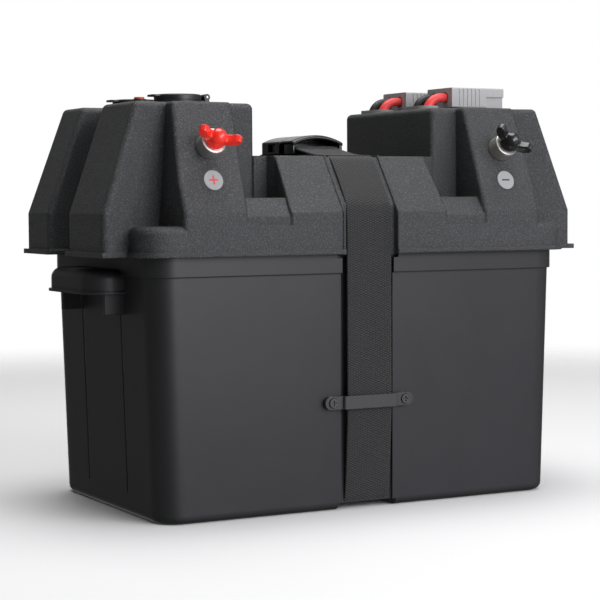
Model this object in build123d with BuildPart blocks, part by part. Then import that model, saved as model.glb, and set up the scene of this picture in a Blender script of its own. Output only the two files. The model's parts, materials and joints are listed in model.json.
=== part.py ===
"""Portable battery box: a tub that holds a deep-cycle battery, and a strapped-down lid with
two terminal studs, two accessory sockets, a breaker and two high-current connectors.

Frame: +X along the long side, +Z up, -Y the side with the terminal studs.
Origin: centre of the flat underside. Millimetres.
"""

import math
import os

from build123d import *

os.makedirs("parts", exist_ok=True)

# ---- driving dimensions --------------------------------------------------------------
WALL = 3.0
RUN_GAP = 0.05  # radial clearance of a shaft in a hole
EASY_GAP = 0.3  # clearance between neighbours that only pass each other

# Tub
TUB_FOOT_X, TUB_FOOT_Y = 336.0, 198.0
TUB_TOP_X, TUB_TOP_Y = 347.0, 200.0
TUB_CORNER = 19.0
TUB_FOOT_ROUND = 6.0
BAND_Z, RIM_Z = 176.8, 205.0
BAND_X, BAND_Y = 351.0, 204.4
GROOVE_Y, GROOVE_WIDTH, GROOVE_DEPTH = 38.0, 2.5, 1.0
GROOVE_LOW, GROOVE_HIGH = 16.0, 176.0
PAD_HALF = 29.0  # half width of the thickened wall behind the strap channel
FOOT_CHANNEL_HALF, RIM_CHANNEL_HALF = 25.0, 26.0
CHANNEL_HALF = 22.0
CHANNEL_FLOOR_Y = 96.8
CHANNEL_ROOF_Z = 4.75
TUB_RAIL_Z = 8.0  # what the battery stands on

# Carrying handles, one at each end
HANDLE_ROOT, HANDLE_REACH = 171.5, 200.0
HANDLE_HALF = 47.0
HANDLE_LOW, HANDLE_TOP = 164.5, 181.5
HANDLE_LIP = 1.8
HANDLE_LEG_REACH, HANDLE_LEG_LOW = 187.5, 148.5
HANDLE_LEG_Y, HANDLE_LEG_THICK = 42.5, 4.0

# Lid
LID_Z = 191.0
LIP_TALL, LIP_OUT = 3.6, 1.8
CREASE_Z, SADDLE_Z, TOWER_Z = 222.0, 264.0, 302.5
SKIRT_X, SKIRT_Y, SKIRT_ROUND, SKIRT_TOP = 181.3, 107.2, 21.0, 213.0
LOBE_X, TOWER_END_X, TOWER_INNER_X = 202.2, 174.0, 77.0
LOBE_Y, TOWER_Y, TOWER_TURN_X = 80.0, 68.0, 150.0  # a tower widens from the turn to its lobes
RECESS_LOW_Y, RECESS_HIGH_Y, RECESS_DEEP = -10.0, 30.0, 21.0
PYLON_IN_X, PYLON_OUT_X, PYLON_FLARE, PYLON_TOP_Y = 101.5, 151.5, 2.5, 77.6
PYLON_TOP_X, PYLON_FOOT_X = 148.0, 156.5  # its outer side leans
BRIDGE_FOOT_X, BRIDGE_TOP_X, BRIDGE_TOP_Y = 67.4, 64.6, 77.0
LEDGE_FRONT_Y, LEDGE_CREASE_Z, LEDGE_BACK_Y, LEDGE_BACK_Z = 105.6, 219.4, 96.0, 232.8
SHELF_X, SHELF_Z = 106.0, 213.0
SHELF_IN, SHELF_DEEP = 8.0, 12.0
ROOT_Y = 55.0  # how deep the pylons and ledges run into the towers
TOWER_FILLET, SKIRT_FILLET, PYLON_FILLET, PYLON_CREASE = 4.5, 6.0, 3.5, 3.0
BRIDGE_FILLET, BRIDGE_CREASE, LEDGE_FILLET = 2.5, 2.0, 1.5
LEDGE_IN_X, LEDGE_OUT_X = 60.0, 110.0
STUD_SEAT = 18.0  # half the width of slope that is kept flat round a stud
PAST_X, PAST_Y, PAST_Z = 250.0, 110.0, 300.0  # beyond the lid's end, side and top
SPARE = 10.0  # how far a cutting shape runs past what it cuts
STRAP_WAY_HALF, STRAP_WAY_Y, STRAP_WAY_DEEP = 22.5, 102.2, 0.8
RAIL_WIDE, RAIL_TALL = 1.6, 0.8
REST_PAD_X, REST_PAD_LONG = 148.0, 24.0

# Strap, its guides and its buckle
STRAP_HALF, STRAP_THICK, STRAP_GAP = 19.0, 1.6, 0.2
GUIDE_Z, GUIDE_LONG, GUIDE_TALL, GUIDE_SCREW_X = 80.8, 75.6, 9.7, 31.0
BUCKLE_FRONT_Y, BUCKLE_SPLIT_Y, BUCKLE_BACK_Y = -25.0, 3.0, 28.0
BUCKLE_HALF, BUCKLE_LOW, BUCKLE_TOP = 22.0, 266.6, 281.6
PRONG_LONG = 20.0

# Terminals
TERMINAL_X, TERMINAL_Z, BADGE_Z = 125.5, 269.5, 245.5
COLLAR_R, COLLAR_TALL, STUD_R = 9.5, 12.0, 4.0
BADGE_R, BADGE_THICK = 7.5, 0.8
HUB_R, HUB_TALL = 6.2, 12.5
WING_TURN = {"positive": -8.0, "negative": -33.0}

# Accessory sockets and breaker, on the left tower
SOCKET_X, SOCKET_Y = -126.2, 40.0
SOCKET_R, SOCKET_BORE_R, SOCKET_DEEP, SOCKET_FLANGE_R = 14.0, 10.6, 44.0, 18.2
FLANGE_TALL, CAP_TALL = 2.4, 4.2
CAP_HINGE_OUT = 20.6
BREAKER_X, BREAKER_Y = -139.8, 0.0
BUTTON_R, BUTTON_TOP = 4.0, 309.4

# Connectors, on the right tower
CONNECTOR_X0, CONNECTOR_X1 = 109.2, 158.6
CONNECTOR_WIDE, CONNECTOR_TALL, CONNECTOR_Z = 36.5, 15.8, 304.0
CONNECTOR_Y = {"front": -29.75, "rear": 40.25}
CONNECTOR_STEP_X = 141.7
SCREW_X, SCREW_Y = 132.0, 14.0  # a connector's two screws, from the box's and its own middle
GRIP_COUNT, GRIP_X, GRIP_STEP, GRIP_WIDE, GRIP_DEEP = 6, 115.5, 3.8, 1.1, 0.3
LEAD_R, LEAD_SPREAD, LEAD_Z, LEAD_BEND = 3.5, 8.15, 312.0, 12.5
GROMMET_X = 92.0
JUNCTION_Z0, JUNCTION_Z1 = 276.0, TOWER_Z - WALL

# Battery
BATTERY_X, BATTERY_Y, BATTERY_Z = 306.0, 171.0, 200.0
POST_X, POST_Y = 128.0, -58.0
INNER_LEAD_R = 4.0

# ---- derived -------------------------------------------------------------------------
PYLON_LEAN = (SKIRT_Y - PYLON_TOP_Y) / (TOWER_Z - CREASE_Z)
PYLON_ANGLE = math.atan(PYLON_LEAN)
BRIDGE_LEAN = (SKIRT_Y - BRIDGE_TOP_Y) / (SADDLE_Z - CREASE_Z)
PYLON_WALL = WALL * math.cos(PYLON_ANGLE) + 0.02
BATTERY_TOP = TUB_RAIL_Z + BATTERY_Z
CAP_Z = TOWER_Z + FLANGE_TALL + 0.2
HINGE_Z = CAP_Z + 2.4
CONNECTOR_MID_Z = CONNECTOR_Z + CONNECTOR_TALL / 2


def slope_plane(x, z, height=0.0):
    """A plane on a pylon's slope, its local z pointing out of the slope."""
    outward = Vector(0, -math.cos(PYLON_ANGLE), math.sin(PYLON_ANGLE))
    foot = Vector(x, -SKIRT_Y + (z - CREASE_Z) * PYLON_LEAN, z)
    return Plane(origin=foot + outward * height, x_dir=(1, 0, 0), z_dir=outward)


def ribbon(points, thick):
    """The outline of a band of the given thickness on the left of a run of points."""
    normals = []
    for a, b in zip(points, points[1:]):
        run = (Vector(*b) - Vector(*a)).normalized()
        normals.append(Vector(-run.Y, run.X))
    shifted = [Vector(*points[0]) + normals[0] * thick]
    for point, before, after in zip(points[1:], normals, normals[1:]):
        bisector = (before + after).normalized()
        shifted.append(Vector(*point) + bisector * (thick / bisector.dot(before)))
    shifted.append(Vector(*points[-1]) + normals[-1] * thick)
    return [*points, *[(p.X, p.Y) for p in reversed(shifted)]]


def profile_x(points, x0, x1):
    """A solid with a Y-Z outline, from x0 to x1."""
    with BuildPart() as slab:
        with BuildSketch(Plane.YZ.offset(x0)):
            with BuildLine():
                Polyline(*points, close=True)
            make_face()
        extrude(amount=x1 - x0)
    return slab.part


def profile_y(points, y0, y1):
    """A solid with an X-Z outline, from y0 to y1."""
    with BuildPart() as slab:
        with BuildSketch(Plane.XZ.offset(-y1)):
            with BuildLine():
                Polyline(*points, close=True)
            make_face()
        extrude(amount=y1 - y0)
    return slab.part


def block(x0, x1, y0, y1, z0, z1):
    """A plain box between two corners."""
    with BuildPart() as box:
        with BuildSketch(Plane.XY.offset(z0)):
            with Locations(((x0 + x1) / 2, (y0 + y1) / 2)):
                Rectangle(abs(x1 - x0), abs(y1 - y0))
        extrude(amount=z1 - z0)
    return box.part


# ---- tub -----------------------------------------------------------------------------
with BuildPart() as handle:
    with BuildSketch(Plane.XY.offset(HANDLE_LOW)):
        with Locations((-(HANDLE_ROOT + HANDLE_REACH) / 2, 0)):
            Rectangle(HANDLE_REACH - HANDLE_ROOT, 2 * HANDLE_HALF)
    extrude(amount=HANDLE_TOP - HANDLE_LOW)
    fillet(handle.edges().filter_by(Axis.Z).group_by(Axis.X)[0], 18)
    fillet(handle.faces().sort_by(Axis.Z)[-1].edges().sort_by(Axis.X)[:-1], 8)
    with BuildSketch(Plane.XY.offset(HANDLE_LOW - 1)):
        with Locations((-(HANDLE_ROOT + HANDLE_REACH + HANDLE_LIP) / 2, 0)):
            Rectangle(HANDLE_REACH + HANDLE_LIP - HANDLE_ROOT, 2 * (HANDLE_HALF + HANDLE_LIP))
        fillet(vertices().group_by(Axis.X)[0], 19)
    extrude(amount=2)
    with BuildSketch(Plane.XY.offset(HANDLE_LOW - 1)):
        with Locations((-(HANDLE_ROOT + 2.5 + HANDLE_REACH - WALL) / 2, 0)):
            Rectangle(HANDLE_REACH - WALL - HANDLE_ROOT - 2.5, 2 * (HANDLE_HALF - WALL))
        fillet(vertices().group_by(Axis.X)[0], 15)
    extrude(amount=HANDLE_TOP - HANDLE_LOW + 1 - WALL, mode=Mode.SUBTRACT)
    for leg_y in (-HANDLE_LEG_Y, HANDLE_LEG_Y):
        half = HANDLE_LEG_THICK / 2
        add(block(-HANDLE_LEG_REACH, -HANDLE_ROOT, leg_y - half, leg_y + half,
                  HANDLE_LEG_LOW, HANDLE_TOP - WALL))

with BuildPart() as tub:
    with BuildSketch():
        RectangleRounded(TUB_FOOT_X, TUB_FOOT_Y, TUB_CORNER)
    with BuildSketch(Plane.XY.offset(BAND_Z)):
        RectangleRounded(TUB_TOP_X, TUB_TOP_Y, TUB_CORNER)
    loft()
    fillet(tub.faces().sort_by(Axis.Z)[0].edges(), TUB_FOOT_ROUND)
    with BuildSketch(Plane.XY.offset(BAND_Z)):
        RectangleRounded(BAND_X, BAND_Y, TUB_CORNER + 2)
    extrude(amount=RIM_Z - BAND_Z)
    with BuildSketch(Plane.XY.offset(WALL)):
        RectangleRounded(TUB_FOOT_X - 2 * WALL, TUB_FOOT_Y - 2 * WALL, TUB_CORNER - WALL)
    with BuildSketch(Plane.XY.offset(BAND_Z)):
        RectangleRounded(TUB_TOP_X - 2 * WALL, TUB_TOP_Y - 2 * WALL, TUB_CORNER - WALL)
    loft(mode=Mode.SUBTRACT)
    with BuildSketch(Plane.XY.offset(BAND_Z)):
        RectangleRounded(BAND_X - 2 * WALL, BAND_Y - 2 * WALL, TUB_CORNER + 2 - WALL)
    extrude(amount=RIM_Z - BAND_Z, mode=Mode.SUBTRACT)
    # The strap's channel down both long faces and across the underside, and its thick backing
    for side in (-1, 1):
        add(block(-PAD_HALF, PAD_HALF, side * (CHANNEL_FLOOR_Y - WALL), side * 98.0,
                  WALL, RIM_Z))
        add(block(-CHANNEL_HALF, CHANNEL_HALF, side * CHANNEL_FLOOR_Y, side * 110.0,
                  -1, RIM_Z + 1), mode=Mode.SUBTRACT)
        add(block(-RIM_CHANNEL_HALF, RIM_CHANNEL_HALF, side * CHANNEL_FLOOR_Y, side * 110.0,
                  LID_Z - 3, RIM_Z + 1), mode=Mode.SUBTRACT)
    add(block(-PAD_HALF, PAD_HALF, -96.0, 96.0, WALL - 1, TUB_RAIL_Z))
    add(block(-FOOT_CHANNEL_HALF, FOOT_CHANNEL_HALF, -110, 110, -1, CHANNEL_ROOF_Z),
        mode=Mode.SUBTRACT)
    # Rails that the battery stands on
    for rail_x in (-120.0, 120.0):
        add(block(rail_x - 6, rail_x + 6, -80, 80, WALL - 1, TUB_RAIL_Z))
    # Two shallow vertical grooves in each end face
    lean = math.atan((TUB_TOP_X - TUB_FOOT_X) / 2 / BAND_Z)
    middle_z = (GROOVE_LOW + GROOVE_HIGH) / 2
    for side in (-1, 1):
        end_x = TUB_FOOT_X / 2 + middle_z * math.tan(lean)
        end_face = Plane(origin=(side * end_x, 0, middle_z), x_dir=(0, 1, 0),
                         z_dir=(side * math.cos(lean), 0, -math.sin(lean)))
        with BuildSketch(end_face):
            with Locations((-GROOVE_Y, 0), (GROOVE_Y, 0)):
                SlotOverall(GROOVE_HIGH - GROOVE_LOW, GROOVE_WIDTH, rotation=90)
        extrude(amount=GROOVE_DEPTH, both=True, mode=Mode.SUBTRACT)
    # Screw bosses for the strap guides, with their pilot holes
    for side in (-1, 1):
        face = Plane(origin=(0, side * 101.0, GUIDE_Z), x_dir=(1, 0, 0), z_dir=(0, side, 0))
        with BuildSketch(face):
            with Locations((-GUIDE_SCREW_X, 0), (GUIDE_SCREW_X, 0)):
                Circle(4.6)
        extrude(amount=-4)
        with BuildSketch(face):
            with Locations((-GUIDE_SCREW_X, 0), (GUIDE_SCREW_X, 0)):
                Circle(1.75 + RUN_GAP)
        extrude(amount=-10, mode=Mode.SUBTRACT)
    add(handle.part)
    add(mirror(handle.part, about=Plane.YZ))


# ---- lid -----------------------------------------------------------------------------
def tower_plan(inset):
    """Outline of the +X tower seen from above, drawn in by inset, round from -Y to +Y."""
    half = [(TOWER_INNER_X + inset, TOWER_Y - inset), (TOWER_TURN_X, TOWER_Y - inset),
            (LOBE_X - inset, LOBE_Y - inset)]
    return [*[(x, -y) for x, y in half], *reversed(half)]


def tower(inset):
    """The +X end tower, drawn in by inset; its end has a tall recess between two lobes."""
    base = LID_Z - (5 if inset else 0)
    top = TOWER_Z - inset
    inner = TOWER_INNER_X + inset
    with BuildPart() as body:
        add(profile_y([(inner, base), (LOBE_X - inset, base), (LOBE_X - inset, CREASE_Z),
                       (TOWER_END_X - inset, top), (inner, top)], -PAST_Y, PAST_Y))
        with BuildSketch(Plane.XY.offset(base)):
            with BuildLine():
                Polyline(*tower_plan(inset), close=True)
            make_face()
        extrude(amount=top - base, mode=Mode.INTERSECT)
        back, back_top = LOBE_X - RECESS_DEEP - inset, TOWER_END_X - RECESS_DEEP - inset
        add(profile_y([(back, base - 1), (PAST_X, base - 1), (PAST_X, top + 1), (back_top, top + 1),
                       (back_top, top), (back, CREASE_Z)],
                      RECESS_LOW_Y - inset, RECESS_HIGH_Y + inset), mode=Mode.SUBTRACT)
        if not inset:
            upper = body.edges().filter_by(lambda e: e.center().Z > base + 0.5)
            fillet(upper.filter_by(lambda e: abs(e.center().X - TOWER_TURN_X) > 0.5
                                   or e.center().Z > top - 0.5), TOWER_FILLET)
    return body.part


def skirt(inset):
    """The low rounded-rectangle part of the lid."""
    with BuildPart() as body:
        with BuildSketch(Plane.XY.offset(LID_Z - (5 if inset else 0))):
            RectangleRounded(2 * (SKIRT_X - inset), 2 * (SKIRT_Y - inset), SKIRT_ROUND - inset)
        extrude(amount=SKIRT_TOP - inset - LID_Z + (5 if inset else 0))
        if not inset:
            fillet(body.faces().sort_by(Axis.Z)[-1].edges(), SKIRT_FILLET)
    return body.part


def pylon(inset):
    """The +X, -Y wedge that carries a terminal stud; it flares towards the tower."""
    base = LID_Z - (5 if inset else 0)
    front, top = SKIRT_Y - inset, TOWER_Z - inset
    top_y = front - (top - CREASE_Z) * PYLON_LEAN
    near, far = PYLON_IN_X + inset, PYLON_OUT_X - inset
    with BuildPart() as body:
        add(profile_x([(-front, base), (-front, CREASE_Z), (-top_y, top), (-ROOT_Y, top),
                       (-ROOT_Y, base)], near - SPARE, far + SPARE))
        with BuildSketch(Plane.XY.offset(base)):
            with BuildLine():
                Polyline((near, -front), (far, -front), (far + 2 * PYLON_FLARE, -ROOT_Y),
                         (near - PYLON_FLARE, -ROOT_Y), close=True)
            make_face()
        extrude(amount=top - base, mode=Mode.INTERSECT)
        add(profile_y([(near - SPARE, base), (PYLON_FOOT_X - inset, base),
                       (PYLON_TOP_X - inset, top), (near - SPARE, top)], -front, -ROOT_Y),
            mode=Mode.INTERSECT)
        if not inset:
            rims = body.edges().filter_by(lambda e: e.center().Y < -SKIRT_Y + 0.5 or
                                          -SKIRT_Y < e.center().Y < -ROOT_Y - 1)
            fillet(rims.filter_by(lambda e: e.center().Z > base + 0.5
                                  and abs(e.center().X - TERMINAL_X) > STUD_SEAT
                                  and e.center().Z < top - 0.5), PYLON_FILLET)
            fillet(body.edges().filter_by(Axis.X).filter_by(
                lambda e: e.center().Y < -ROOT_Y - 1 and e.center().Z > base + 0.5), PYLON_CREASE)
    return body.part


def bridge(inset):
    """The wedge-fronted saddle between the towers."""
    base = LID_Z - (5 if inset else 0)
    front, top = SKIRT_Y - inset, SADDLE_Z - inset
    half = TOWER_INNER_X + (3 * WALL if inset else 1)
    corner = [(BRIDGE_FOOT_X - inset, -SKIRT_Y), (BRIDGE_TOP_X - inset, -BRIDGE_TOP_Y),
              (BRIDGE_FOOT_X - inset, -TOWER_Y + inset), (half, -TOWER_Y + inset)]
    right = [*corner, *[(x, -y) for x, y in reversed(corner)]]
    with BuildPart() as body:
        add(profile_x([(-front, base), (-front, CREASE_Z), (-BRIDGE_TOP_Y + inset, top),
                       (BRIDGE_TOP_Y - inset, top), (front, CREASE_Z), (front, base)],
                      -half, half))
        with BuildSketch(Plane.XY.offset(base)):
            with BuildLine():
                Polyline(*right, *[(-x, -y) for x, y in right], close=True)
            make_face()
        extrude(amount=PAST_Z - base, mode=Mode.INTERSECT)
        if not inset:
            fillet(body.edges().filter_by(Axis.Z).filter_by(
                lambda e: abs(e.center().Y) > BRIDGE_TOP_Y + 1), BRIDGE_FILLET)
            fillet(body.edges().filter_by(Axis.X).filter_by(
                lambda e: e.center().Z > base + 1 and abs(e.center().Y) > BRIDGE_TOP_Y - 1),
                BRIDGE_CREASE)
    return body.part


def ledge(inset):
    """The low step between the bridge and the +X, -Y pylon."""
    base = LID_Z - (5 if inset else 0)
    with BuildPart() as step:
        add(profile_x([(-LEDGE_FRONT_Y + inset, base),
                       (-LEDGE_FRONT_Y + inset, LEDGE_CREASE_Z - inset / 2),
                       (-LEDGE_BACK_Y + inset, LEDGE_BACK_Z - inset),
                       (-ROOT_Y, LEDGE_BACK_Z - inset), (-ROOT_Y, base)],
                      LEDGE_IN_X, LEDGE_OUT_X))
        if not inset:
            fillet(step.edges().filter_by(Axis.X).filter_by(
                lambda e: e.center().Z > base + 1 and e.center().Y < -ROOT_Y - 1), LEDGE_FILLET)
    return step.part


def mirrored(part, front_only=False):
    """The part and its mirror images about the two upright centre planes."""
    pair = [part, mirror(part, about=Plane.YZ)]
    return pair if front_only else pair + [mirror(p, about=Plane.XZ) for p in pair]


def strap_path(gap):
    """Y-Z points of the front half of the strap's way over the lid, from lip to buckle."""
    lean = math.hypot(1, BRIDGE_LEAN)
    depth = STRAP_WAY_DEEP - gap
    shift = depth * lean
    front = STRAP_WAY_Y + gap
    turn_z = CREASE_Z + (SKIRT_Y - shift - front) / BRIDGE_LEAN
    top = SADDLE_Z - depth
    top_y = SKIRT_Y - shift - (top - CREASE_Z) * BRIDGE_LEAN
    return [(-front, LID_Z), (-front, turn_z), (-top_y, top)]


def both_ways(points):
    """A run of Y-Z points continued by its mirror image."""
    return [*points, *[(-y, z) for y, z in reversed(points)]]


with BuildPart() as lid:
    add(skirt(0))
    for shape in (*mirrored(tower(0), True), *mirrored(pylon(0)), *mirrored(ledge(0)), bridge(0)):
        add(shape)
    # Lip round the lower edge
    with BuildSketch(Plane.XY.offset(LID_Z)):
        RectangleRounded(2 * (SKIRT_X + LIP_OUT), 2 * (SKIRT_Y + LIP_OUT), SKIRT_ROUND + LIP_OUT)
        for hand in (-1, 1):
            with BuildLine():
                Polyline(*[(hand * x, y) for x, y in tower_plan(-LIP_OUT)], close=True)
            make_face()
            with Locations((hand * (LOBE_X - RECESS_DEEP + LIP_OUT + PAST_X / 2),
                            (RECESS_LOW_Y + RECESS_HIGH_Y) / 2)):
                Rectangle(PAST_X, RECESS_HIGH_Y - RECESS_LOW_Y - 2 * LIP_OUT, mode=Mode.SUBTRACT)
    extrude(amount=LIP_TALL)
    # Flat shelves under the ledges, flush with the skirt's front
    for hand in (-1, 1):
        for side in (-1, 1):
            add(block(hand * (BRIDGE_FOOT_X - SHELF_IN), hand * SHELF_X, side * (SKIRT_Y - SHELF_DEEP),
                      side * SKIRT_Y, LID_Z, SHELF_Z))
    # Raised rails beside the strap's way
    way = strap_path(0)
    rail_out = both_ways([(-SKIRT_Y - RAIL_TALL, LID_Z),
                          (-SKIRT_Y - RAIL_TALL, CREASE_Z + 0.3 * RAIL_TALL),
                          (-BRIDGE_TOP_Y - 0.3 * RAIL_TALL, SADDLE_Z + RAIL_TALL)])
    for x in (-STRAP_WAY_HALF - RAIL_WIDE, STRAP_WAY_HALF):
        add(profile_x(rail_out, x, x + RAIL_WIDE))
    # The space inside
    for shape in (skirt(WALL), *mirrored(tower(WALL), True), *mirrored(pylon(WALL)),
                  *mirrored(ledge(WALL)), bridge(WALL)):
        add(shape, mode=Mode.SUBTRACT)
    # The strap's way, and the wall that backs its deep part
    backing = both_ways([(-SKIRT_Y + 1, LID_Z), (-SKIRT_Y + 1, CREASE_Z), (-BRIDGE_TOP_Y, SADDLE_Z)])
    inside = both_ways([(-STRAP_WAY_Y + 2.4, LID_Z - 1), (-STRAP_WAY_Y + 2.4, way[1][1]),
                        (-BRIDGE_TOP_Y + WALL, SADDLE_Z - WALL)])
    add(profile_x([*backing, *reversed(inside)], -FOOT_CHANNEL_HALF, FOOT_CHANNEL_HALF))
    over = both_ways([(-SKIRT_Y - SPARE, LID_Z - 2), (-SKIRT_Y - SPARE, PAST_Z)])
    floor = both_ways([(way[0][0], LID_Z - 2), *way[1:]])
    add(profile_x([*over, *reversed(floor)], -STRAP_WAY_HALF, STRAP_WAY_HALF), mode=Mode.SUBTRACT)
    # Four pads by which the lid rests on the tub's rim
    for pad_x in (-REST_PAD_X, REST_PAD_X):
        for side in (-1, 1):
            add(block(pad_x - REST_PAD_LONG / 2, pad_x + REST_PAD_LONG / 2,
                      side * 98.0, side * (SKIRT_Y - WALL + 0.5), RIM_Z, SKIRT_TOP - WALL + 0.5))
    # Holes for the studs, sockets, breaker, grommets and screws
    for x in (-TERMINAL_X, TERMINAL_X):
        with BuildSketch(slope_plane(x, TERMINAL_Z, 2)):
            Circle(STUD_R + 0.2)
        extrude(amount=-12, mode=Mode.SUBTRACT)
    with BuildSketch(Plane.XY.offset(TOWER_Z + 1)):
        with Locations((SOCKET_X, -SOCKET_Y), (SOCKET_X, SOCKET_Y)):
            Circle(SOCKET_R + 0.2)
        with Locations((BREAKER_X, BREAKER_Y)):
            Circle(5.7)
        for y in CONNECTOR_Y.values():
            with Locations((GROMMET_X, y)):
                SlotOverall(30, 14, rotation=90)
            with Locations((SCREW_X, y - SCREW_Y), (SCREW_X, y + SCREW_Y)):
                Circle(1.5)
    extrude(amount=-6, mode=Mode.SUBTRACT)

# ---- strap and guides ----------------------------------------------------------------
upper_path = strap_path(STRAP_GAP)
front_run = [*upper_path, (BUCKLE_FRONT_Y + 4, upper_path[-1][1])]
rear_run = [(-y, z) for y, z in [*upper_path, (-BUCKLE_BACK_Y + 4, upper_path[-1][1])]]
strap_y = -upper_path[0][0]
lower_half = [(strap_y, LID_Z - 0.1), (strap_y, 70), (97.4, CHANNEL_ROOF_Z - 0.35)]

with BuildPart() as strap_upper:
    for run, side in ((front_run, 1), (list(reversed(rear_run)), 1)):
        add(profile_x(ribbon(run, STRAP_THICK * side), -STRAP_HALF, STRAP_HALF))

with BuildPart() as strap_lower:
    loop = both_ways(lower_half)
    add(profile_x(ribbon(list(reversed(loop)), -STRAP_THICK), -STRAP_HALF, STRAP_HALF))


def strap_guide(side):
    """A screwed-on loop that holds the strap to one long face of the tub."""
    seat, loop_in = 101.0, strap_y + STRAP_THICK + EASY_GAP
    face = Plane(origin=(0, side * seat, GUIDE_Z), x_dir=(1, 0, 0), z_dir=(0, side, 0))
    with BuildPart() as guide:
        with BuildSketch(face):
            SlotOverall(GUIDE_LONG, GUIDE_TALL)
        extrude(amount=2.6)
        with BuildSketch(face):
            Rectangle(2 * STRAP_HALF + 8, GUIDE_TALL)
        extrude(amount=loop_in - seat + 2.2)
        fillet(guide.edges().filter_by(Axis.Z).group_by(Axis.Y)[-1 if side > 0 else 0], 1.5)
        with BuildSketch(face):
            Rectangle(2 * STRAP_HALF + 2, GUIDE_TALL + 2)
        extrude(amount=loop_in - seat, mode=Mode.SUBTRACT)
        with BuildSketch(face):
            with Locations((-GUIDE_SCREW_X, 0), (GUIDE_SCREW_X, 0)):
                Circle(1.75 + RUN_GAP)
        extrude(amount=4, mode=Mode.SUBTRACT)
        with BuildSketch(face.offset(2.0)):
            with Locations((-GUIDE_SCREW_X, 0), (GUIDE_SCREW_X, 0)):
                Circle(3.75)
        extrude(amount=4, mode=Mode.SUBTRACT)
    return guide


strap_guide_front = strap_guide(-1)
strap_guide_rear = strap_guide(1)

with BuildPart() as guide_screws:
    for side in (-1, 1):
        head = Plane(origin=(0, side * 103.0, GUIDE_Z), x_dir=(1, 0, 0), z_dir=(0, side, 0))
        with BuildSketch(head):
            with Locations((-GUIDE_SCREW_X, 0), (GUIDE_SCREW_X, 0)):
                Circle(3.5)
        extrude(amount=1.5)
        with BuildSketch(head):
            with Locations((-GUIDE_SCREW_X, 0), (GUIDE_SCREW_X, 0)):
                Circle(1.75)
        extrude(amount=-9)
        for turn in (0, 90):
            with BuildSketch(head.offset(1.5)):
                with Locations((-GUIDE_SCREW_X, 0), (GUIDE_SCREW_X, 0)):
                    Rectangle(4.0, 0.8, rotation=turn)
            extrude(amount=-0.9, mode=Mode.SUBTRACT)

# ---- battery -------------------------------------------------------------------------
COVER_Z = BATTERY_TOP - 24
with BuildPart() as battery_case:
    with BuildSketch(Plane.XY.offset(TUB_RAIL_Z)):
        RectangleRounded(BATTERY_X - 4, BATTERY_Y - 4, 5)
    extrude(amount=COVER_Z - TUB_RAIL_Z)
    fillet(battery_case.faces().sort_by(Axis.Z)[0].edges(), 2)

with BuildPart() as battery_cover:
    with BuildSketch(Plane.XY.offset(COVER_Z)):
        RectangleRounded(BATTERY_X, BATTERY_Y, 6)
    extrude(amount=BATTERY_TOP - COVER_Z)
    fillet(battery_cover.faces().sort_by(Axis.Z)[-1].edges(), 3)
    # Corner wells round the two posts
    with BuildSketch(Plane.XY.offset(BATTERY_TOP)):
        for side in (-1, 1):
            with Locations((side * POST_X, POST_Y)):
                RectangleRounded(34, 34, 4)
    extrude(amount=-5, mode=Mode.SUBTRACT)


def battery_post(side):
    """A round lead post with a threaded bore."""
    with BuildPart() as post:
        with BuildSketch(Plane.XY.offset(BATTERY_TOP - 5)):
            with Locations((side * POST_X, POST_Y)):
                Circle(9.0)
        extrude(amount=11, taper=2)
        with BuildSketch(Plane.XY.offset(BATTERY_TOP + 6)):
            with Locations((side * POST_X, POST_Y)):
                Circle(4 + RUN_GAP)
        extrude(amount=-9, mode=Mode.SUBTRACT)
    return post


battery_post_positive = battery_post(-1)
battery_post_negative = battery_post(1)

with BuildPart() as post_bolts:
    for side in (-1, 1):
        with BuildSketch(Plane.XY.offset(BATTERY_TOP + 8)):
            with Locations((side * POST_X, POST_Y)):
                RegularPolygon(7.0, 6)
        extrude(amount=5.3)
        with BuildSketch(Plane.XY.offset(BATTERY_TOP + 8)):
            with Locations((side * POST_X, POST_Y)):
                Circle(4)
        extrude(amount=-9)


def tube(points, radii, radius):
    """A round cord of straight runs joined by tangent arcs."""
    with BuildPart() as cord:
        with BuildLine() as route:
            FilletPolyline(*points, radius=radii)
        start = Plane(origin=route.wire() @ 0, z_dir=route.wire() % 0)
        with BuildSketch(start):
            Circle(radius)
        sweep()
    return cord


# Inner leads: each runs from a battery post to its terminal stud and parts at the lid's seam
SEAM_Z = 238.0
LUG_DEPTH = 9.0  # of the ring lug under the pylon's slope
LEAD_TURN = 22.0  # from the stud to where an inner lead turns straight down
down = Vector(0, -math.sin(PYLON_ANGLE), -math.cos(PYLON_ANGLE))


def inner_lead_upper(side):
    """The part of an inner lead on the lid: ring lug, crimp and a short cable."""
    plane = slope_plane(side * TERMINAL_X, TERMINAL_Z, -LUG_DEPTH)
    start = plane.origin
    with BuildPart() as lead:
        with BuildSketch(plane):
            Circle(7.5)
            with Locations((0, -9)):
                Rectangle(9, 10)
            Circle(STUD_R + RUN_GAP, mode=Mode.SUBTRACT)
        extrude(amount=-1.6)
        crimp = start + down * 12 - plane.z_dir * 3.2
        turn = start + down * LEAD_TURN - plane.z_dir * 3.2
        with BuildLine() as route:
            FilletPolyline(crimp, turn, (side * TERMINAL_X, turn.Y, SEAM_Z), radius=20)
        with BuildSketch(Plane(origin=route.wire() @ 0, z_dir=route.wire() % 0)):
            Circle(INNER_LEAD_R)
        sweep()
    return lead


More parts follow.
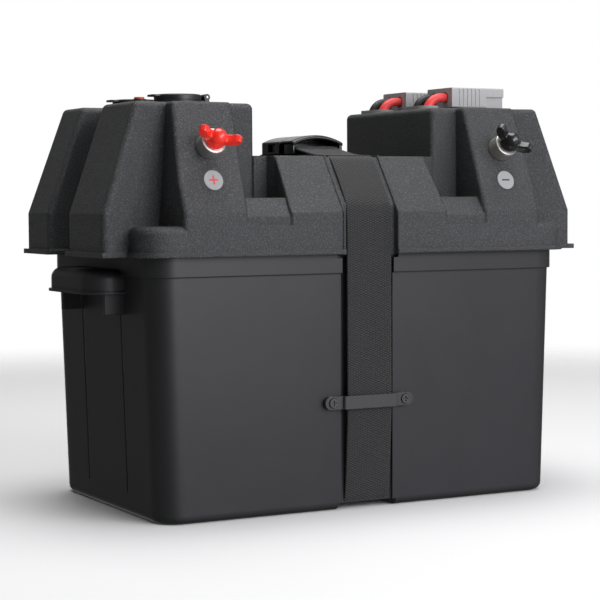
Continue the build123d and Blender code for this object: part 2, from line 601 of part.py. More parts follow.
def inner_lead_lower(side):
    """The part of an inner lead on the tub: cable and the ring lug on the post."""
    upper_turn = slope_plane(side * TERMINAL_X, TERMINAL_Z, -LUG_DEPTH - 3.2).origin + down * LEAD_TURN
    lug_z = BATTERY_TOP + 6
    with BuildPart() as lead:
        with BuildLine() as route:
            FilletPolyline((side * TERMINAL_X, upper_turn.Y, SEAM_Z),
                           (side * TERMINAL_X, upper_turn.Y, lug_z + 4.8),
                           (side * TERMINAL_X, POST_Y - 9, lug_z + 4.8), radius=12)
        with BuildSketch(Plane(origin=route.wire() @ 0, z_dir=route.wire() % 0)):
            Circle(INNER_LEAD_R)
        sweep()
        with BuildSketch(Plane.XY.offset(lug_z)):
            with Locations((side * POST_X, POST_Y)):
                Circle(8.5)
            with Locations((side * TERMINAL_X, POST_Y - 12)):
                Rectangle(8, 14)
            with Locations((side * POST_X, POST_Y)):
                Circle(4 + RUN_GAP, mode=Mode.SUBTRACT)
        extrude(amount=2.0)
    return lead


positive_lead_upper = inner_lead_upper(-1)
negative_lead_upper = inner_lead_upper(1)
positive_lead_lower = inner_lead_lower(-1)
negative_lead_lower = inner_lead_lower(1)


# ---- terminals -----------------------------------------------------------------------
def terminal_collar(side):
    """The plated spacer on the pylon's slope."""
    with BuildPart() as collar:
        with BuildSketch(slope_plane(side * TERMINAL_X, TERMINAL_Z)):
            Circle(COLLAR_R)
            Circle(STUD_R + RUN_GAP, mode=Mode.SUBTRACT)
        extrude(amount=COLLAR_TALL)
        outer = collar.edges().filter_by(GeomType.CIRCLE).filter_by(lambda e: e.radius > 9)
        chamfer(outer, 0.5)
    return collar


def terminal_stud(side):
    """A threaded rod through the lid's wall."""
    with BuildPart() as stud:
        with BuildSketch(slope_plane(side * TERMINAL_X, TERMINAL_Z, COLLAR_TALL + 8)):
            Circle(STUD_R)
        extrude(amount=-(COLLAR_TALL + 8 + 20))
        chamfer(stud.edges().filter_by(GeomType.CIRCLE), 0.5)
    return stud


def terminal_badge(side):
    """The round polarity disc under a stud."""
    with BuildPart() as badge:
        with BuildSketch(slope_plane(side * TERMINAL_X, BADGE_Z)):
            Circle(BADGE_R)
        extrude(amount=BADGE_THICK)
        fillet(badge.faces().filter_by(GeomType.PLANE).sort_by(Axis.Y)[0].edges(), 0.3)
        with BuildSketch(slope_plane(side * TERMINAL_X, BADGE_Z, BADGE_THICK)):
            Rectangle(7.0, 1.2)
            if side < 0:
                Rectangle(1.2, 7.0)
        extrude(amount=-0.3, mode=Mode.SUBTRACT)
    return badge


collar_positive, collar_negative = terminal_collar(-1), terminal_collar(1)
stud_positive, stud_negative = terminal_stud(-1), terminal_stud(1)
badge_positive, badge_negative = terminal_badge(-1), terminal_badge(1)

with BuildPart() as polarity_marks:
    for side in (-1, 1):
        with BuildSketch(slope_plane(side * TERMINAL_X, BADGE_Z, BADGE_THICK)):
            Rectangle(7.0, 1.2)
            if side < 0:
                Rectangle(1.2, 7.0)
        extrude(amount=-0.3)

with BuildPart() as stud_nuts:
    for side in (-1, 1):
        for depth, radius, tall in ((PYLON_WALL, 9.0, 1.6), (PYLON_WALL + 1.6, 0, 4.4),
                                    (LUG_DEPTH + 1.7, 0, 6.0)):
            with BuildSketch(slope_plane(side * TERMINAL_X, TERMINAL_Z, -depth)):
                if radius:
                    Circle(radius)
                else:
                    RegularPolygon(6.5, 6, major_radius=False)
                Circle(STUD_R + RUN_GAP, mode=Mode.SUBTRACT)
            extrude(amount=-tall)


def wing(upright, hand):
    """One upswept wing of a wing nut, drawn in a plane through the nut's axis."""
    with BuildPart() as blade:
        with BuildSketch(upright):
            with BuildLine():
                Polyline((hand * 2.0, 1.0), (hand * 7.0, 1.5), (hand * 17.0, 6.0),
                         (hand * 17.8, 9.5), (hand * 15.5, 13.0), (hand * 11.5, 12.2),
                         (hand * 5.5, 8.0), (hand * 2.0, 8.0), close=True)
            make_face()
        extrude(amount=3.4, both=True)
    return blade.part


def wing_nut(side, turn):
    """A plastic-covered wing nut: domed hub with two upswept wings."""
    axis = slope_plane(side * TERMINAL_X, TERMINAL_Z, COLLAR_TALL + 0.1)
    spin = Axis((0, 0, 0), axis.z_dir)
    upright = Plane(origin=axis.origin, x_dir=axis.x_dir.rotate(spin, turn),
                    z_dir=axis.x_dir.rotate(spin, turn - 90))
    with BuildPart() as nut:
        with BuildSketch(upright):
            with BuildLine():
                Polyline((0, 0), (7.4, 0), (7.4, 3.0), (HUB_R, 5.0), (HUB_R, HUB_TALL - HUB_R))
                CenterArc((0, HUB_TALL - HUB_R), HUB_R, 0, 90)
                Line((0, HUB_TALL), (0, 0))
            make_face()
        revolve(axis=Axis(axis.origin, axis.z_dir))
        for hand in (-1, 1):
            add(wing(upright, hand))
        with BuildSketch(axis):
            Circle(STUD_R + RUN_GAP)
        extrude(amount=8.6, mode=Mode.SUBTRACT)
    return nut


wing_nut_positive = wing_nut(-1, WING_TURN["positive"])
wing_nut_negative = wing_nut(1, WING_TURN["negative"])


# ---- accessory sockets and breaker ---------------------------------------------------
def accessory_socket(y):
    """A round power socket with a flange on the tower's top."""
    with BuildPart() as socket:
        with BuildSketch(Plane.XY.offset(TOWER_Z)):
            with Locations((SOCKET_X, y)):
                Circle(SOCKET_FLANGE_R)
            with Locations((SOCKET_X + CAP_HINGE_OUT - 2, y)):
                Rectangle(6, 14)
        extrude(amount=FLANGE_TALL)
        with BuildSketch(Plane.XY.offset(TOWER_Z)):
            with Locations((SOCKET_X, y)):
                Circle(SOCKET_R)
        extrude(amount=-SOCKET_DEEP)
        # Two knuckles of the cap's hinge
        for ear_y in (y - 6.0, y + 6.0):
            ear = Plane.XZ.offset(-(ear_y + 1.5))
            with BuildSketch(ear):
                with Locations((SOCKET_X + CAP_HINGE_OUT, HINGE_Z)):
                    Circle(2.4)
                with Locations((SOCKET_X + CAP_HINGE_OUT, (TOWER_Z + HINGE_Z) / 2)):
                    Rectangle(3.6, HINGE_Z - TOWER_Z)
                with Locations((SOCKET_X + CAP_HINGE_OUT, HINGE_Z)):
                    Circle(0.8 + RUN_GAP, mode=Mode.SUBTRACT)
            extrude(amount=3.0)
        with BuildSketch(Plane.XY.offset(TOWER_Z + FLANGE_TALL)):
            with Locations((SOCKET_X, y)):
                Circle(SOCKET_BORE_R)
        extrude(amount=-(SOCKET_DEEP + FLANGE_TALL - 3), mode=Mode.SUBTRACT)
    return socket


def socket_cap(y):
    """The flip cap: a crowned disc, a thumb tab and one knuckle between the socket's two."""
    hinge = (SOCKET_X + CAP_HINGE_OUT, HINGE_Z)
    with BuildPart() as cap:
        with BuildSketch(Plane.XY.offset(CAP_Z)):
            with Locations((SOCKET_X, y)):
                Circle(SOCKET_FLANGE_R - 0.6)
        extrude(amount=CAP_TALL)
        fillet(cap.faces().sort_by(Axis.Z)[-1].edges(), 1.6)
        with BuildSketch(Plane.XY.offset(CAP_Z + 2.4)):
            with Locations((SOCKET_X - SOCKET_FLANGE_R + 1, y)):
                RectangleRounded(11, 12, 3)
            with Locations((SOCKET_X + CAP_HINGE_OUT - 4.6, y)):
                Rectangle(8, 8.2)
        extrude(amount=1.4)
        with BuildSketch(Plane.XZ.offset(-(y + 4.1))):
            with Locations(hinge):
                Circle(2.3)
        extrude(amount=8.2)
        with BuildSketch(Plane.XZ.offset(-(y + 5))):
            with Locations(hinge):
                Circle(0.8 + RUN_GAP)
        extrude(amount=10, mode=Mode.SUBTRACT)
    return cap


socket_front, socket_rear = accessory_socket(-SOCKET_Y), accessory_socket(SOCKET_Y)
socket_cap_front, socket_cap_rear = socket_cap(-SOCKET_Y), socket_cap(SOCKET_Y)

with BuildPart() as cap_pins:
    for y in (-SOCKET_Y, SOCKET_Y):
        with BuildSketch(Plane.XZ.offset(-(y + 8))):
            with Locations((SOCKET_X + CAP_HINGE_OUT, HINGE_Z)):
                Circle(0.8)
        extrude(amount=16)

with BuildPart() as socket_nuts:
    for y in (-SOCKET_Y, SOCKET_Y):
        with BuildSketch(Plane.XY.offset(TOWER_Z - WALL)):
            with Locations((SOCKET_X, y)):
                Circle(18.0)
                Circle(SOCKET_R + RUN_GAP, mode=Mode.SUBTRACT)
        extrude(amount=-6)

with BuildPart() as breaker_body:
    with BuildSketch(Plane.XY.offset(TOWER_Z - WALL - 1)):
        with Locations((BREAKER_X, BREAKER_Y)):
            Rectangle(16, 34)
    extrude(amount=-24)
    with BuildSketch(Plane.XY.offset(TOWER_Z - WALL - 1)):
        with Locations((BREAKER_X, BREAKER_Y)):
            Circle(5.5)
    extrude(amount=WALL + 1 + 5.2)
    with BuildSketch(Plane.XY.offset(TOWER_Z + 5.2)):
        with Locations((BREAKER_X, BREAKER_Y)):
            Circle(BUTTON_R + RUN_GAP)
    extrude(amount=-12, mode=Mode.SUBTRACT)

with BuildPart() as breaker_nut:
    with BuildSketch(Plane.XY.offset(TOWER_Z)):
        with Locations((BREAKER_X, BREAKER_Y)):
            RegularPolygon(7.5, 6)
            Circle(5.5 + RUN_GAP, mode=Mode.SUBTRACT)
    extrude(amount=3.2)

with BuildPart() as breaker_button:
    with BuildSketch(Plane.XY.offset(TOWER_Z - 4)):
        with Locations((BREAKER_X, BREAKER_Y)):
            Circle(BUTTON_R)
    extrude(amount=BUTTON_TOP - TOWER_Z + 4)
    fillet(breaker_button.faces().sort_by(Axis.Z)[-1].edges(), 0.8)


# ---- connectors ----------------------------------------------------------------------
def connector(y):
    """A two-pole high-current connector housing lying on the tower, mouth towards +X."""
    half = CONNECTOR_WIDE / 2
    with BuildPart() as housing:
        add(block(CONNECTOR_X0, CONNECTOR_X1, y - half, y + half, CONNECTOR_Z,
                  CONNECTOR_Z + CONNECTOR_TALL))
        fillet(housing.edges().filter_by(Axis.X), 1.2)
        # The lower half of the mouth end stands back on both sides
        for side in (-1, 1):
            add(block(CONNECTOR_STEP_X, CONNECTOR_X1 + 1, y + side * (half - 1.6),
                      y + side * (half + 1), CONNECTOR_Z - 1, CONNECTOR_Z + 8.6), mode=Mode.SUBTRACT)
        # Mouth and cable entries
        add(block(CONNECTOR_X1 - 17, CONNECTOR_X1 + 1, y - 14, y + 14, CONNECTOR_MID_Z - 4.4,
                  CONNECTOR_MID_Z + 4.4), mode=Mode.SUBTRACT)
        entry = Plane(origin=(CONNECTOR_X0, y, LEAD_Z), x_dir=(0, 1, 0), z_dir=(1, 0, 0))
        with BuildSketch(entry):
            with Locations((-LEAD_SPREAD, 0), (LEAD_SPREAD, 0)):
                Circle(LEAD_R + 0.9)
        extrude(amount=12, mode=Mode.SUBTRACT)
        with BuildSketch(entry):
            with Locations((-LEAD_SPREAD, 0), (LEAD_SPREAD, 0)):
                Circle(LEAD_R + RUN_GAP)
        extrude(amount=22, mode=Mode.SUBTRACT)
        for side in (-1, 1):
            mid = y + side * LEAD_SPREAD
            add(block(CONNECTOR_X0 + 22, CONNECTOR_X1 - 16, mid - 3.25, mid + 3.25,
                      LEAD_Z - 1.15, LEAD_Z + 1.15), mode=Mode.SUBTRACT)
        # Grip grooves on both sides
        for i in range(GRIP_COUNT):
            x = GRIP_X + GRIP_STEP * i
            for side in (-1, 1):
                add(block(x, x + GRIP_WIDE, y + side * (half - GRIP_DEEP), y + side * (half + 1),
                          CONNECTOR_Z + 1, CONNECTOR_Z + CONNECTOR_TALL - 1), mode=Mode.SUBTRACT)
        with BuildSketch(Plane.XY.offset(CONNECTOR_Z + CONNECTOR_TALL)):
            with Locations((SCREW_X, y - SCREW_Y), (SCREW_X, y + SCREW_Y)):
                Circle(1.6)
        extrude(amount=-CONNECTOR_TALL, mode=Mode.SUBTRACT)
        with BuildSketch(Plane.XY.offset(CONNECTOR_Z + CONNECTOR_TALL)):
            with Locations((SCREW_X, y - SCREW_Y), (SCREW_X, y + SCREW_Y)):
                Circle(3.0)
        extrude(amount=-2.0, mode=Mode.SUBTRACT)
    return housing


connector_front = connector(CONNECTOR_Y["front"])
connector_rear = connector(CONNECTOR_Y["rear"])

with BuildPart() as connector_pads:
    for y in CONNECTOR_Y.values():
        with BuildSketch(Plane.XY.offset(TOWER_Z)):
            with Locations((133, y)):
                Rectangle(42, 32)
            with Locations((SCREW_X, y - SCREW_Y), (SCREW_X, y + SCREW_Y)):
                Circle(1.6, mode=Mode.SUBTRACT)
        extrude(amount=CONNECTOR_Z - TOWER_Z)

with BuildPart() as connector_contacts:
    for y in CONNECTOR_Y.values():
        for side in (-1, 1):
            mid = y + side * LEAD_SPREAD
            add(block(CONNECTOR_X0 + 22.2, CONNECTOR_X1 - 4, mid - 3.2, mid + 3.2,
                      LEAD_Z - 1.1, LEAD_Z + 1.1))

with BuildPart() as connector_screws:
    for y in CONNECTOR_Y.values():
        with BuildSketch(Plane.XY.offset(CONNECTOR_Z + CONNECTOR_TALL - 2)):
            with Locations((SCREW_X, y - SCREW_Y), (SCREW_X, y + SCREW_Y)):
                Circle(2.8)
        extrude(amount=1.8)
        with BuildSketch(Plane.XY.offset(CONNECTOR_Z + CONNECTOR_TALL - 2)):
            with Locations((SCREW_X, y - SCREW_Y), (SCREW_X, y + SCREW_Y)):
                Circle(1.45)
        extrude(amount=-(CONNECTOR_TALL + 3))


def connector_lead(y, radius=LEAD_R):
    """A lead from the junction box up through its grommet and over into a connector."""
    return tube([(GROMMET_X, y, JUNCTION_Z1 - 12), (GROMMET_X, y, LEAD_Z),
                 (CONNECTOR_X0 + 21.5, y, LEAD_Z)], LEAD_BEND, radius)


with BuildPart() as cable_grommets:
    for y in CONNECTOR_Y.values():
        for z, length, width, tall in ((TOWER_Z, 34.0, 18.5, 2.6), (TOWER_Z - 5, 29.8, 13.8, 5.0)):
            with BuildSketch(Plane.XY.offset(z)):
                with Locations((GROMMET_X, y)):
                    SlotOverall(length, width, rotation=90)
            extrude(amount=tall)
        for side in (-1, 1):
            add(connector_lead(y + side * LEAD_SPREAD, LEAD_R + RUN_GAP).part, mode=Mode.SUBTRACT)


red_lead_front = connector_lead(CONNECTOR_Y["front"] - LEAD_SPREAD)
black_lead_front = connector_lead(CONNECTOR_Y["front"] + LEAD_SPREAD)
red_lead_rear = connector_lead(CONNECTOR_Y["rear"] - LEAD_SPREAD)
black_lead_rear = connector_lead(CONNECTOR_Y["rear"] + LEAD_SPREAD)

with BuildPart() as junction_box:
    add(block(GROMMET_X - 11, GROMMET_X + 30, -50, 60, JUNCTION_Z0, JUNCTION_Z1 - 2))
    fillet(junction_box.edges().filter_by(Axis.Z), 3)
    for hub_y in (-46.0, 5.0, 56.0):
        add(block(GROMMET_X + 14, GROMMET_X + 24, hub_y - 3, hub_y + 3, JUNCTION_Z1 - 3, JUNCTION_Z1))
    with BuildSketch(Plane.XY.offset(JUNCTION_Z1)):
        for y in CONNECTOR_Y.values():
            with Locations((GROMMET_X, y - LEAD_SPREAD), (GROMMET_X, y + LEAD_SPREAD)):
                Circle(LEAD_R + RUN_GAP)
    extrude(amount=-12, mode=Mode.SUBTRACT)

# ---- buckle --------------------------------------------------------------------------
SOCKET_WALL = 2.2
BUCKLE_SIDE = BUCKLE_TOP - 5.0  # the top is crowned across its width


def crowned(y0, y1):
    """A stretch of the buckle's body, with its crowned top."""
    with BuildPart() as shell:
        with BuildSketch(Plane.XZ.offset(-y1)):
            with BuildLine():
                Polyline((-BUCKLE_HALF, BUCKLE_SIDE), (-BUCKLE_HALF, BUCKLE_LOW),
                         (BUCKLE_HALF, BUCKLE_LOW), (BUCKLE_HALF, BUCKLE_SIDE))
                ThreePointArc((BUCKLE_HALF, BUCKLE_SIDE), (0, BUCKLE_TOP),
                              (-BUCKLE_HALF, BUCKLE_SIDE))
            make_face()
        extrude(amount=y1 - y0)
        fillet(shell.edges().filter_by(Axis.Y), 1.5)
    return shell.part


with BuildPart() as buckle_socket:
    add(crowned(BUCKLE_SPLIT_Y - 4, BUCKLE_BACK_Y))
    add(block(-BUCKLE_HALF + SOCKET_WALL, BUCKLE_HALF - SOCKET_WALL, BUCKLE_SPLIT_Y - 5,
              BUCKLE_BACK_Y - 7, BUCKLE_LOW + SOCKET_WALL, BUCKLE_SIDE - 1.4),
        mode=Mode.SUBTRACT)
    for side in (-1, 1):
        add(block(side * (BUCKLE_HALF - 4), side * (BUCKLE_HALF + 1), BUCKLE_SPLIT_Y + 2,
                  BUCKLE_SPLIT_Y + 15, BUCKLE_LOW + SOCKET_WALL, BUCKLE_SIDE - 1.4),
            mode=Mode.SUBTRACT)
    # Bar for the rear end of the strap
    add(block(-STRAP_HALF - 0.5, STRAP_HALF + 0.5, BUCKLE_BACK_Y - 5.2, BUCKLE_BACK_Y - 2.4,
              BUCKLE_LOW - 1, BUCKLE_LOW + 9), mode=Mode.SUBTRACT)

PLUG_LOW, PLUG_TOP = BUCKLE_LOW + SOCKET_WALL + EASY_GAP, BUCKLE_SIDE - 1.4 - EASY_GAP
PLUG_SHELL_BACK = BUCKLE_SPLIT_Y - 4 - EASY_GAP
with BuildPart() as buckle_plug:
    add(crowned(BUCKLE_FRONT_Y, PLUG_SHELL_BACK))
    # Two slots that leave the bar the strap is threaded round
    for low in (BUCKLE_FRONT_Y + 3.0, BUCKLE_FRONT_Y + 10.5):
        add(block(-STRAP_HALF - 0.5, STRAP_HALF + 0.5, low, low + 4.2, BUCKLE_LOW - 1,
                  BUCKLE_TOP + 1), mode=Mode.SUBTRACT)
    # Centre tongue
    add(block(-4, 4, PLUG_SHELL_BACK - 1, PLUG_SHELL_BACK + PRONG_LONG, PLUG_LOW + 2, PLUG_TOP - 2))


def buckle_prong(side):
    """A springy side arm of the plug, seen through the socket's side window."""
    outer = BUCKLE_HALF - SOCKET_WALL - EASY_GAP
    return profile_z([(side * (outer - 8), PLUG_SHELL_BACK), (side * outer, PLUG_SHELL_BACK),
                      (side * outer, PLUG_SHELL_BACK + PRONG_LONG - 3),
                      (side * (outer - 2.5), PLUG_SHELL_BACK + PRONG_LONG),
                      (side * (outer - 6), PLUG_SHELL_BACK + PRONG_LONG - 2),
                      (side * (outer - 3.5), PLUG_SHELL_BACK + 8)], PLUG_LOW, PLUG_TOP)


def profile_z(points, z0, z1):
    """A block whose outline is given in X and Y."""
    with BuildPart() as slab:
        with BuildSketch(Plane.XY.offset(z0)):
            with BuildLine():
                Polyline(*points, close=True)
            make_face()
        extrude(amount=z1 - z0)
    return slab


buckle_prong_left = buckle_prong(-1)
buckle_prong_right = buckle_prong(1)

# ---- export --------------------------------------------------------------------------
pieces = {
    "tub": tub, "lid": lid, "strap_lower": strap_lower, "strap_upper": strap_upper,
    "strap_guide_front": strap_guide_front, "strap_guide_rear": strap_guide_rear,
    "guide_screws": guide_screws, "battery_case": battery_case,
    "battery_cover": battery_cover, "battery_post_positive": battery_post_positive,
    "battery_post_negative": battery_post_negative, "post_bolts": post_bolts,
    "positive_lead_lower": positive_lead_lower, "positive_lead_upper": positive_lead_upper,
    "negative_lead_lower": negative_lead_lower, "negative_lead_upper": negative_lead_upper,
    "collar_positive": collar_positive, "collar_negative": collar_negative,
    "stud_positive": stud_positive, "stud_negative": stud_negative, "stud_nuts": stud_nuts,
    "badge_positive": badge_positive, "badge_negative": badge_negative,
    "polarity_marks": polarity_marks, "wing_nut_positive": wing_nut_positive,
    "wing_nut_negative": wing_nut_negative, "socket_front": socket_front,
    "socket_rear": socket_rear, "socket_nuts": socket_nuts,
    "socket_cap_front": socket_cap_front, "socket_cap_rear": socket_cap_rear,
    "cap_pins": cap_pins, "breaker_body": breaker_body, "breaker_nut": breaker_nut,
    "breaker_button": breaker_button, "connector_front": connector_front,
    "connector_rear": connector_rear, "connector_pads": connector_pads,
    "connector_contacts": connector_contacts, "connector_screws": connector_screws,
    "cable_grommets": cable_grommets, "red_lead_front": red_lead_front,
    "black_lead_front": black_lead_front, "red_lead_rear": red_lead_rear,
    "black_lead_rear": black_lead_rear, "junction_box": junction_box,
    "buckle_socket": buckle_socket, "buckle_plug": buckle_plug,
    "buckle_prong_left": buckle_prong_left, "buckle_prong_right": buckle_prong_right,
}
for label, piece in pieces.items():
    piece.part.label = label
    export_step(piece.part, f"parts/{label}.step")
print(len(pieces), "pieces written")
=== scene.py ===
# %% [markdown]
# # A strapped battery box
# The object is a portable battery box: a smooth tub, a stippled lid with two towers, a
# woven strap with a side-release buckle, two terminal studs under plastic-dipped wing
# nuts, two capped power sockets, a breaker and two high-current connectors. The frame
# below already holds every rigid piece at its real size. This script gives each piece
# its finish, and makes anew the pieces that a plain solid can't show: the webbing, the
# dipped wing nuts, the buckle's open plug and the leads inside.

# %% Load the frame
import json
import math

import bmesh
import bpy
from mathutils import Matrix, Vector


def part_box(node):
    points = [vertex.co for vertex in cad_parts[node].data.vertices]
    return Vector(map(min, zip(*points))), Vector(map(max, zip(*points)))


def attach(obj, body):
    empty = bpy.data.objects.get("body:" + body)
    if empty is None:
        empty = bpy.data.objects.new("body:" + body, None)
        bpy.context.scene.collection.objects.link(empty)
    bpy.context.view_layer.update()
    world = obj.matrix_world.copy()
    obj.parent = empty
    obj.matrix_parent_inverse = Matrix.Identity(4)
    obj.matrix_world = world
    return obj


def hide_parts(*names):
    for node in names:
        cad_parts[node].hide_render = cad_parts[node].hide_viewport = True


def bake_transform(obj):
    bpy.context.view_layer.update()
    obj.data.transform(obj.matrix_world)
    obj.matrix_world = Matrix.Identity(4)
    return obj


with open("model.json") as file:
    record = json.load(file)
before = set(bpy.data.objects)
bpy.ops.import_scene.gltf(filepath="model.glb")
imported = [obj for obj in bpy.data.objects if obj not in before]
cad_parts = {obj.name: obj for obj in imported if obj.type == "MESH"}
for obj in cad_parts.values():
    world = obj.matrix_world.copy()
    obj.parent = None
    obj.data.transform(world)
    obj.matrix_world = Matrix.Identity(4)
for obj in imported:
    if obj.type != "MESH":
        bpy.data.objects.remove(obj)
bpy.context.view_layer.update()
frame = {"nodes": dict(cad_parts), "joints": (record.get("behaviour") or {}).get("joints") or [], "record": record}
nodes = frame["nodes"]
MM = 0.001
print(len(nodes), "pieces in the frame")

# %% [markdown]
# ## Camera
# A long lens from a metre and a half away keeps the box's uprights nearly parallel. The
# camera is placed by where it stands and three turns: its heading from the +Y axis, how
# far it looks down, and its roll. Its own axes are worked out from those three, which is
# more direct than a tracking constraint and leaves nothing live in the scene.

# %% Stand the camera
CAMERA_PLACE = Vector((-0.67604, -1.25888, 0.23208))
CAMERA_HEADING, CAMERA_DOWN, CAMERA_ROLL = (math.radians(a) for a in (28.117, 3.2235, -0.348))
CAMERA_LENS = 107.92

ahead = Vector((math.sin(CAMERA_HEADING) * math.cos(CAMERA_DOWN),
                math.cos(CAMERA_HEADING) * math.cos(CAMERA_DOWN),
                -math.sin(CAMERA_DOWN)))
level = Vector((math.cos(CAMERA_HEADING), -math.sin(CAMERA_HEADING), 0))
above = level.cross(ahead)
across = math.cos(CAMERA_ROLL) * level + math.sin(CAMERA_ROLL) * above
upward = math.cos(CAMERA_ROLL) * above - math.sin(CAMERA_ROLL) * level

camera = bpy.data.objects.new("camera", bpy.data.cameras.new("camera"))
camera.data.lens = CAMERA_LENS
camera.matrix_world = Matrix.Translation(CAMERA_PLACE) @ Matrix(
    (across, upward, -ahead)).transposed().to_4x4()
bpy.context.scene.collection.objects.link(camera)
bpy.context.scene.camera = camera
print("camera stands", round(CAMERA_PLACE.length, 2), "m from the box")

# %% [markdown]
# ## Shader arithmetic
# A procedural finish is a small sum: some noise, a wave, a mask, and what they do to
# colour, gloss and height. Reading such a sum as Python is easier than reading a list of
# links, so one small class wraps a socket and turns each operator into a Math node. One
# method makes every other node: its settings go in first, then its sockets.

# %% Wrap a socket
class Wire:
    """A value that runs through a material, with arithmetic that adds Math nodes."""

    def __init__(self, recipe, socket):
        self.recipe = recipe
        self.socket = socket

    def math(self, operation, *values):
        made = self.recipe.node("Math", {"operation": operation}, dict(enumerate(values)))
        return Wire(self.recipe, made.outputs[0])

    def apply(self, operation):
        """A Math node that takes this wire alone, such as a sine."""
        return self.math(operation, self)

    def __add__(self, other):
        return self.math("ADD", self, other)

    def __sub__(self, other):
        return self.math("SUBTRACT", self, other)

    def __rsub__(self, other):
        return self.math("SUBTRACT", other, self)

    def __mul__(self, other):
        return self.math("MULTIPLY", self, other)

    def __truediv__(self, other):
        return self.math("DIVIDE", self, other)

    def __pow__(self, other):
        return self.math("POWER", self, other)

    __radd__ = __add__
    __rmul__ = __mul__


# %% [markdown]
# The second class writes one material, or the surround that lights the scene. Its node
# method makes any node from its settings and the values or links of its sockets. The
# other methods are shorthands for the patterns that moulded plastic, metal and cloth
# need: noise, cells, a soft threshold, a mix of two colours, bumps and rounded edges.

# %% Write a material
class Recipe:
    """A material while it is being written: its nodes, its shader and a few shorthands."""

    def __init__(self, name, world=None):
        self.material = world or bpy.data.materials.new(name)
        self.material.use_nodes = True
        self.tree = self.material.node_tree
        self.shader = self.tree.nodes["Background" if world else "Principled BSDF"]

    def node(self, kind, settings=None, sockets=None):
        made = self.tree.nodes.new("ShaderNode" + kind)
        for key, value in (settings or {}).items():
            if key == "stops":
                while len(made.color_ramp.elements) < len(value):
                    made.color_ramp.elements.new(1)
                for element, (place, colour) in zip(made.color_ramp.elements, value):
                    element.position = place
                    element.color = colour
            else:
                setattr(made, key, value)
        for key, value in (sockets or {}).items():
            self.feed(made.inputs[key], value)
        return made

    def feed(self, socket, value):
        if isinstance(value, Wire):
            self.tree.links.new(value.socket, socket)
        else:
            socket.default_value = value

    def wire(self, kind, output, settings=None, sockets=None):
        return Wire(self, self.node(kind, settings, sockets).outputs[output])

    def place(self):
        return self.wire("TexCoord", "Object")

    def toward(self, vector, direction):
        """How far a vector runs along a direction."""
        return self.wire("VectorMath", "Value", {"operation": "DOT_PRODUCT"}, {
            0: vector, 1: tuple(Vector(direction).normalized())})

    def along(self, vector):
        """The X, Y and Z of a vector as three wires."""
        split = self.node("SeparateXYZ", None, {0: vector})
        return [Wire(self, socket) for socket in split.outputs]

    def noise(self, size, detail=2.0, roughness=0.5, vector=None, stretch=(1, 1, 1)):
        """Smooth noise from 0 to 1 whose blotches are about size metres wide."""
        vector = vector or self.place()
        if stretch != (1, 1, 1):
            vector = self.wire("Mapping", 0, None, {"Vector": vector, "Scale": stretch})
        return self.wire("TexNoise", "Fac", None, {
            "Vector": vector, "Scale": 1 / size, "Detail": detail, "Roughness": roughness})

    def cells(self, size, feature="F1", vector=None):
        """Distance to the nearest of a scatter of points about size metres apart."""
        return self.wire("TexVoronoi", "Distance", {"feature": feature}, {
            "Vector": vector or self.place(), "Scale": 1 / size})

    def band(self, value, low, high):
        """0 below low and 1 above high, with a smooth step between."""
        return self.wire("MapRange", 0, {"interpolation_type": "SMOOTHSTEP"}, {
            0: value, 1: low, 2: high, 3: 0.0, 4: 1.0})

    def tint(self, amount, first, second):
        """The first colour where amount is 0, turning into the second where it is 1."""
        return self.wire("Mix", 2, {"data_type": "RGBA"}, {0: amount, 6: first, 7: second})

    def bump(self, height, depth, under=None):
        """A normal from height, which is 0 to 1 over depth metres."""
        sockets = {"Height": height, "Distance": depth, "Strength": 1.0}
        if under:
            sockets["Normal"] = under
        return self.wire("Bump", 0, None, sockets)

    def edge(self, radius):
        """A normal that rounds sharp edges to about this radius."""
        return self.wire("Bevel", 0, {"samples": 8}, {"Radius": radius})

    def finish(self, **sockets):
        """Feeds the shader by socket names, written with _ for a space."""
        for key, value in sockets.items():
            self.feed(self.shader.inputs[key.replace("_", " ")], value)
        return self.material


def grey(value, warmth=0.0):
    """A nearly neutral colour: warmth above 0 leans to red, and below 0 to blue."""
    return (value * (1 + warmth), value, value * (1 - warmth), 1.0)


# %% [markdown]
# ## Finishes
# Moulded plastic tells its grade by its skin. The lid was made in an eroded mould, so it
# has a coarse stipple that glitters at grazing light; that glitter is also painted into
# the lid's colour as pale specks, a painted highlight. The tub's mould was only blasted:
# it has a soft sheen with faint flow clouds. Both are the same black, and on the tub the
# height of the grain and the roughness do the work rather than the colour.

# %% Lid plastic
def lid_plastic():
    """Black plastic with the pebbled grain of an eroded mould, and pale specks of painted glitter in its colour.
    """
    r = Recipe("lid_plastic")
    pebbles = r.cells(0.00105, "SMOOTH_F1")
    grain = r.noise(0.0009, 4, 0.7)
    # Painted highlight: pale glint specks painted into the colour; where they lie the plastic is also a little
    # glossier.
    glint_fleck = r.band(r.noise(0.0010, 2, 0.6), 0.46, 0.70)
    clouds = r.noise(0.06, 3)
    height = (1 - pebbles) * 0.5 + grain * 1.1
    scuffs = r.band(r.noise(0.02, 5, 0.65), 0.62, 0.8)
    # The colour is mostly the painted glint specks, with a little of the random flow clouds.
    colour = r.tint(glint_fleck * 0.8 + clouds * 0.2, grey(0.006, -0.05), grey(0.074, -0.08))
    return r.finish(
        Base_Color=r.tint(scuffs * 0.3, colour, grey(0.04)),
        Roughness=0.34 + grain * 0.16 + (1 - glint_fleck) * 0.10,
        Normal=r.bump(height, 0.00062, r.edge(0.0018)),
        Specular_IOR_Level=0.75)


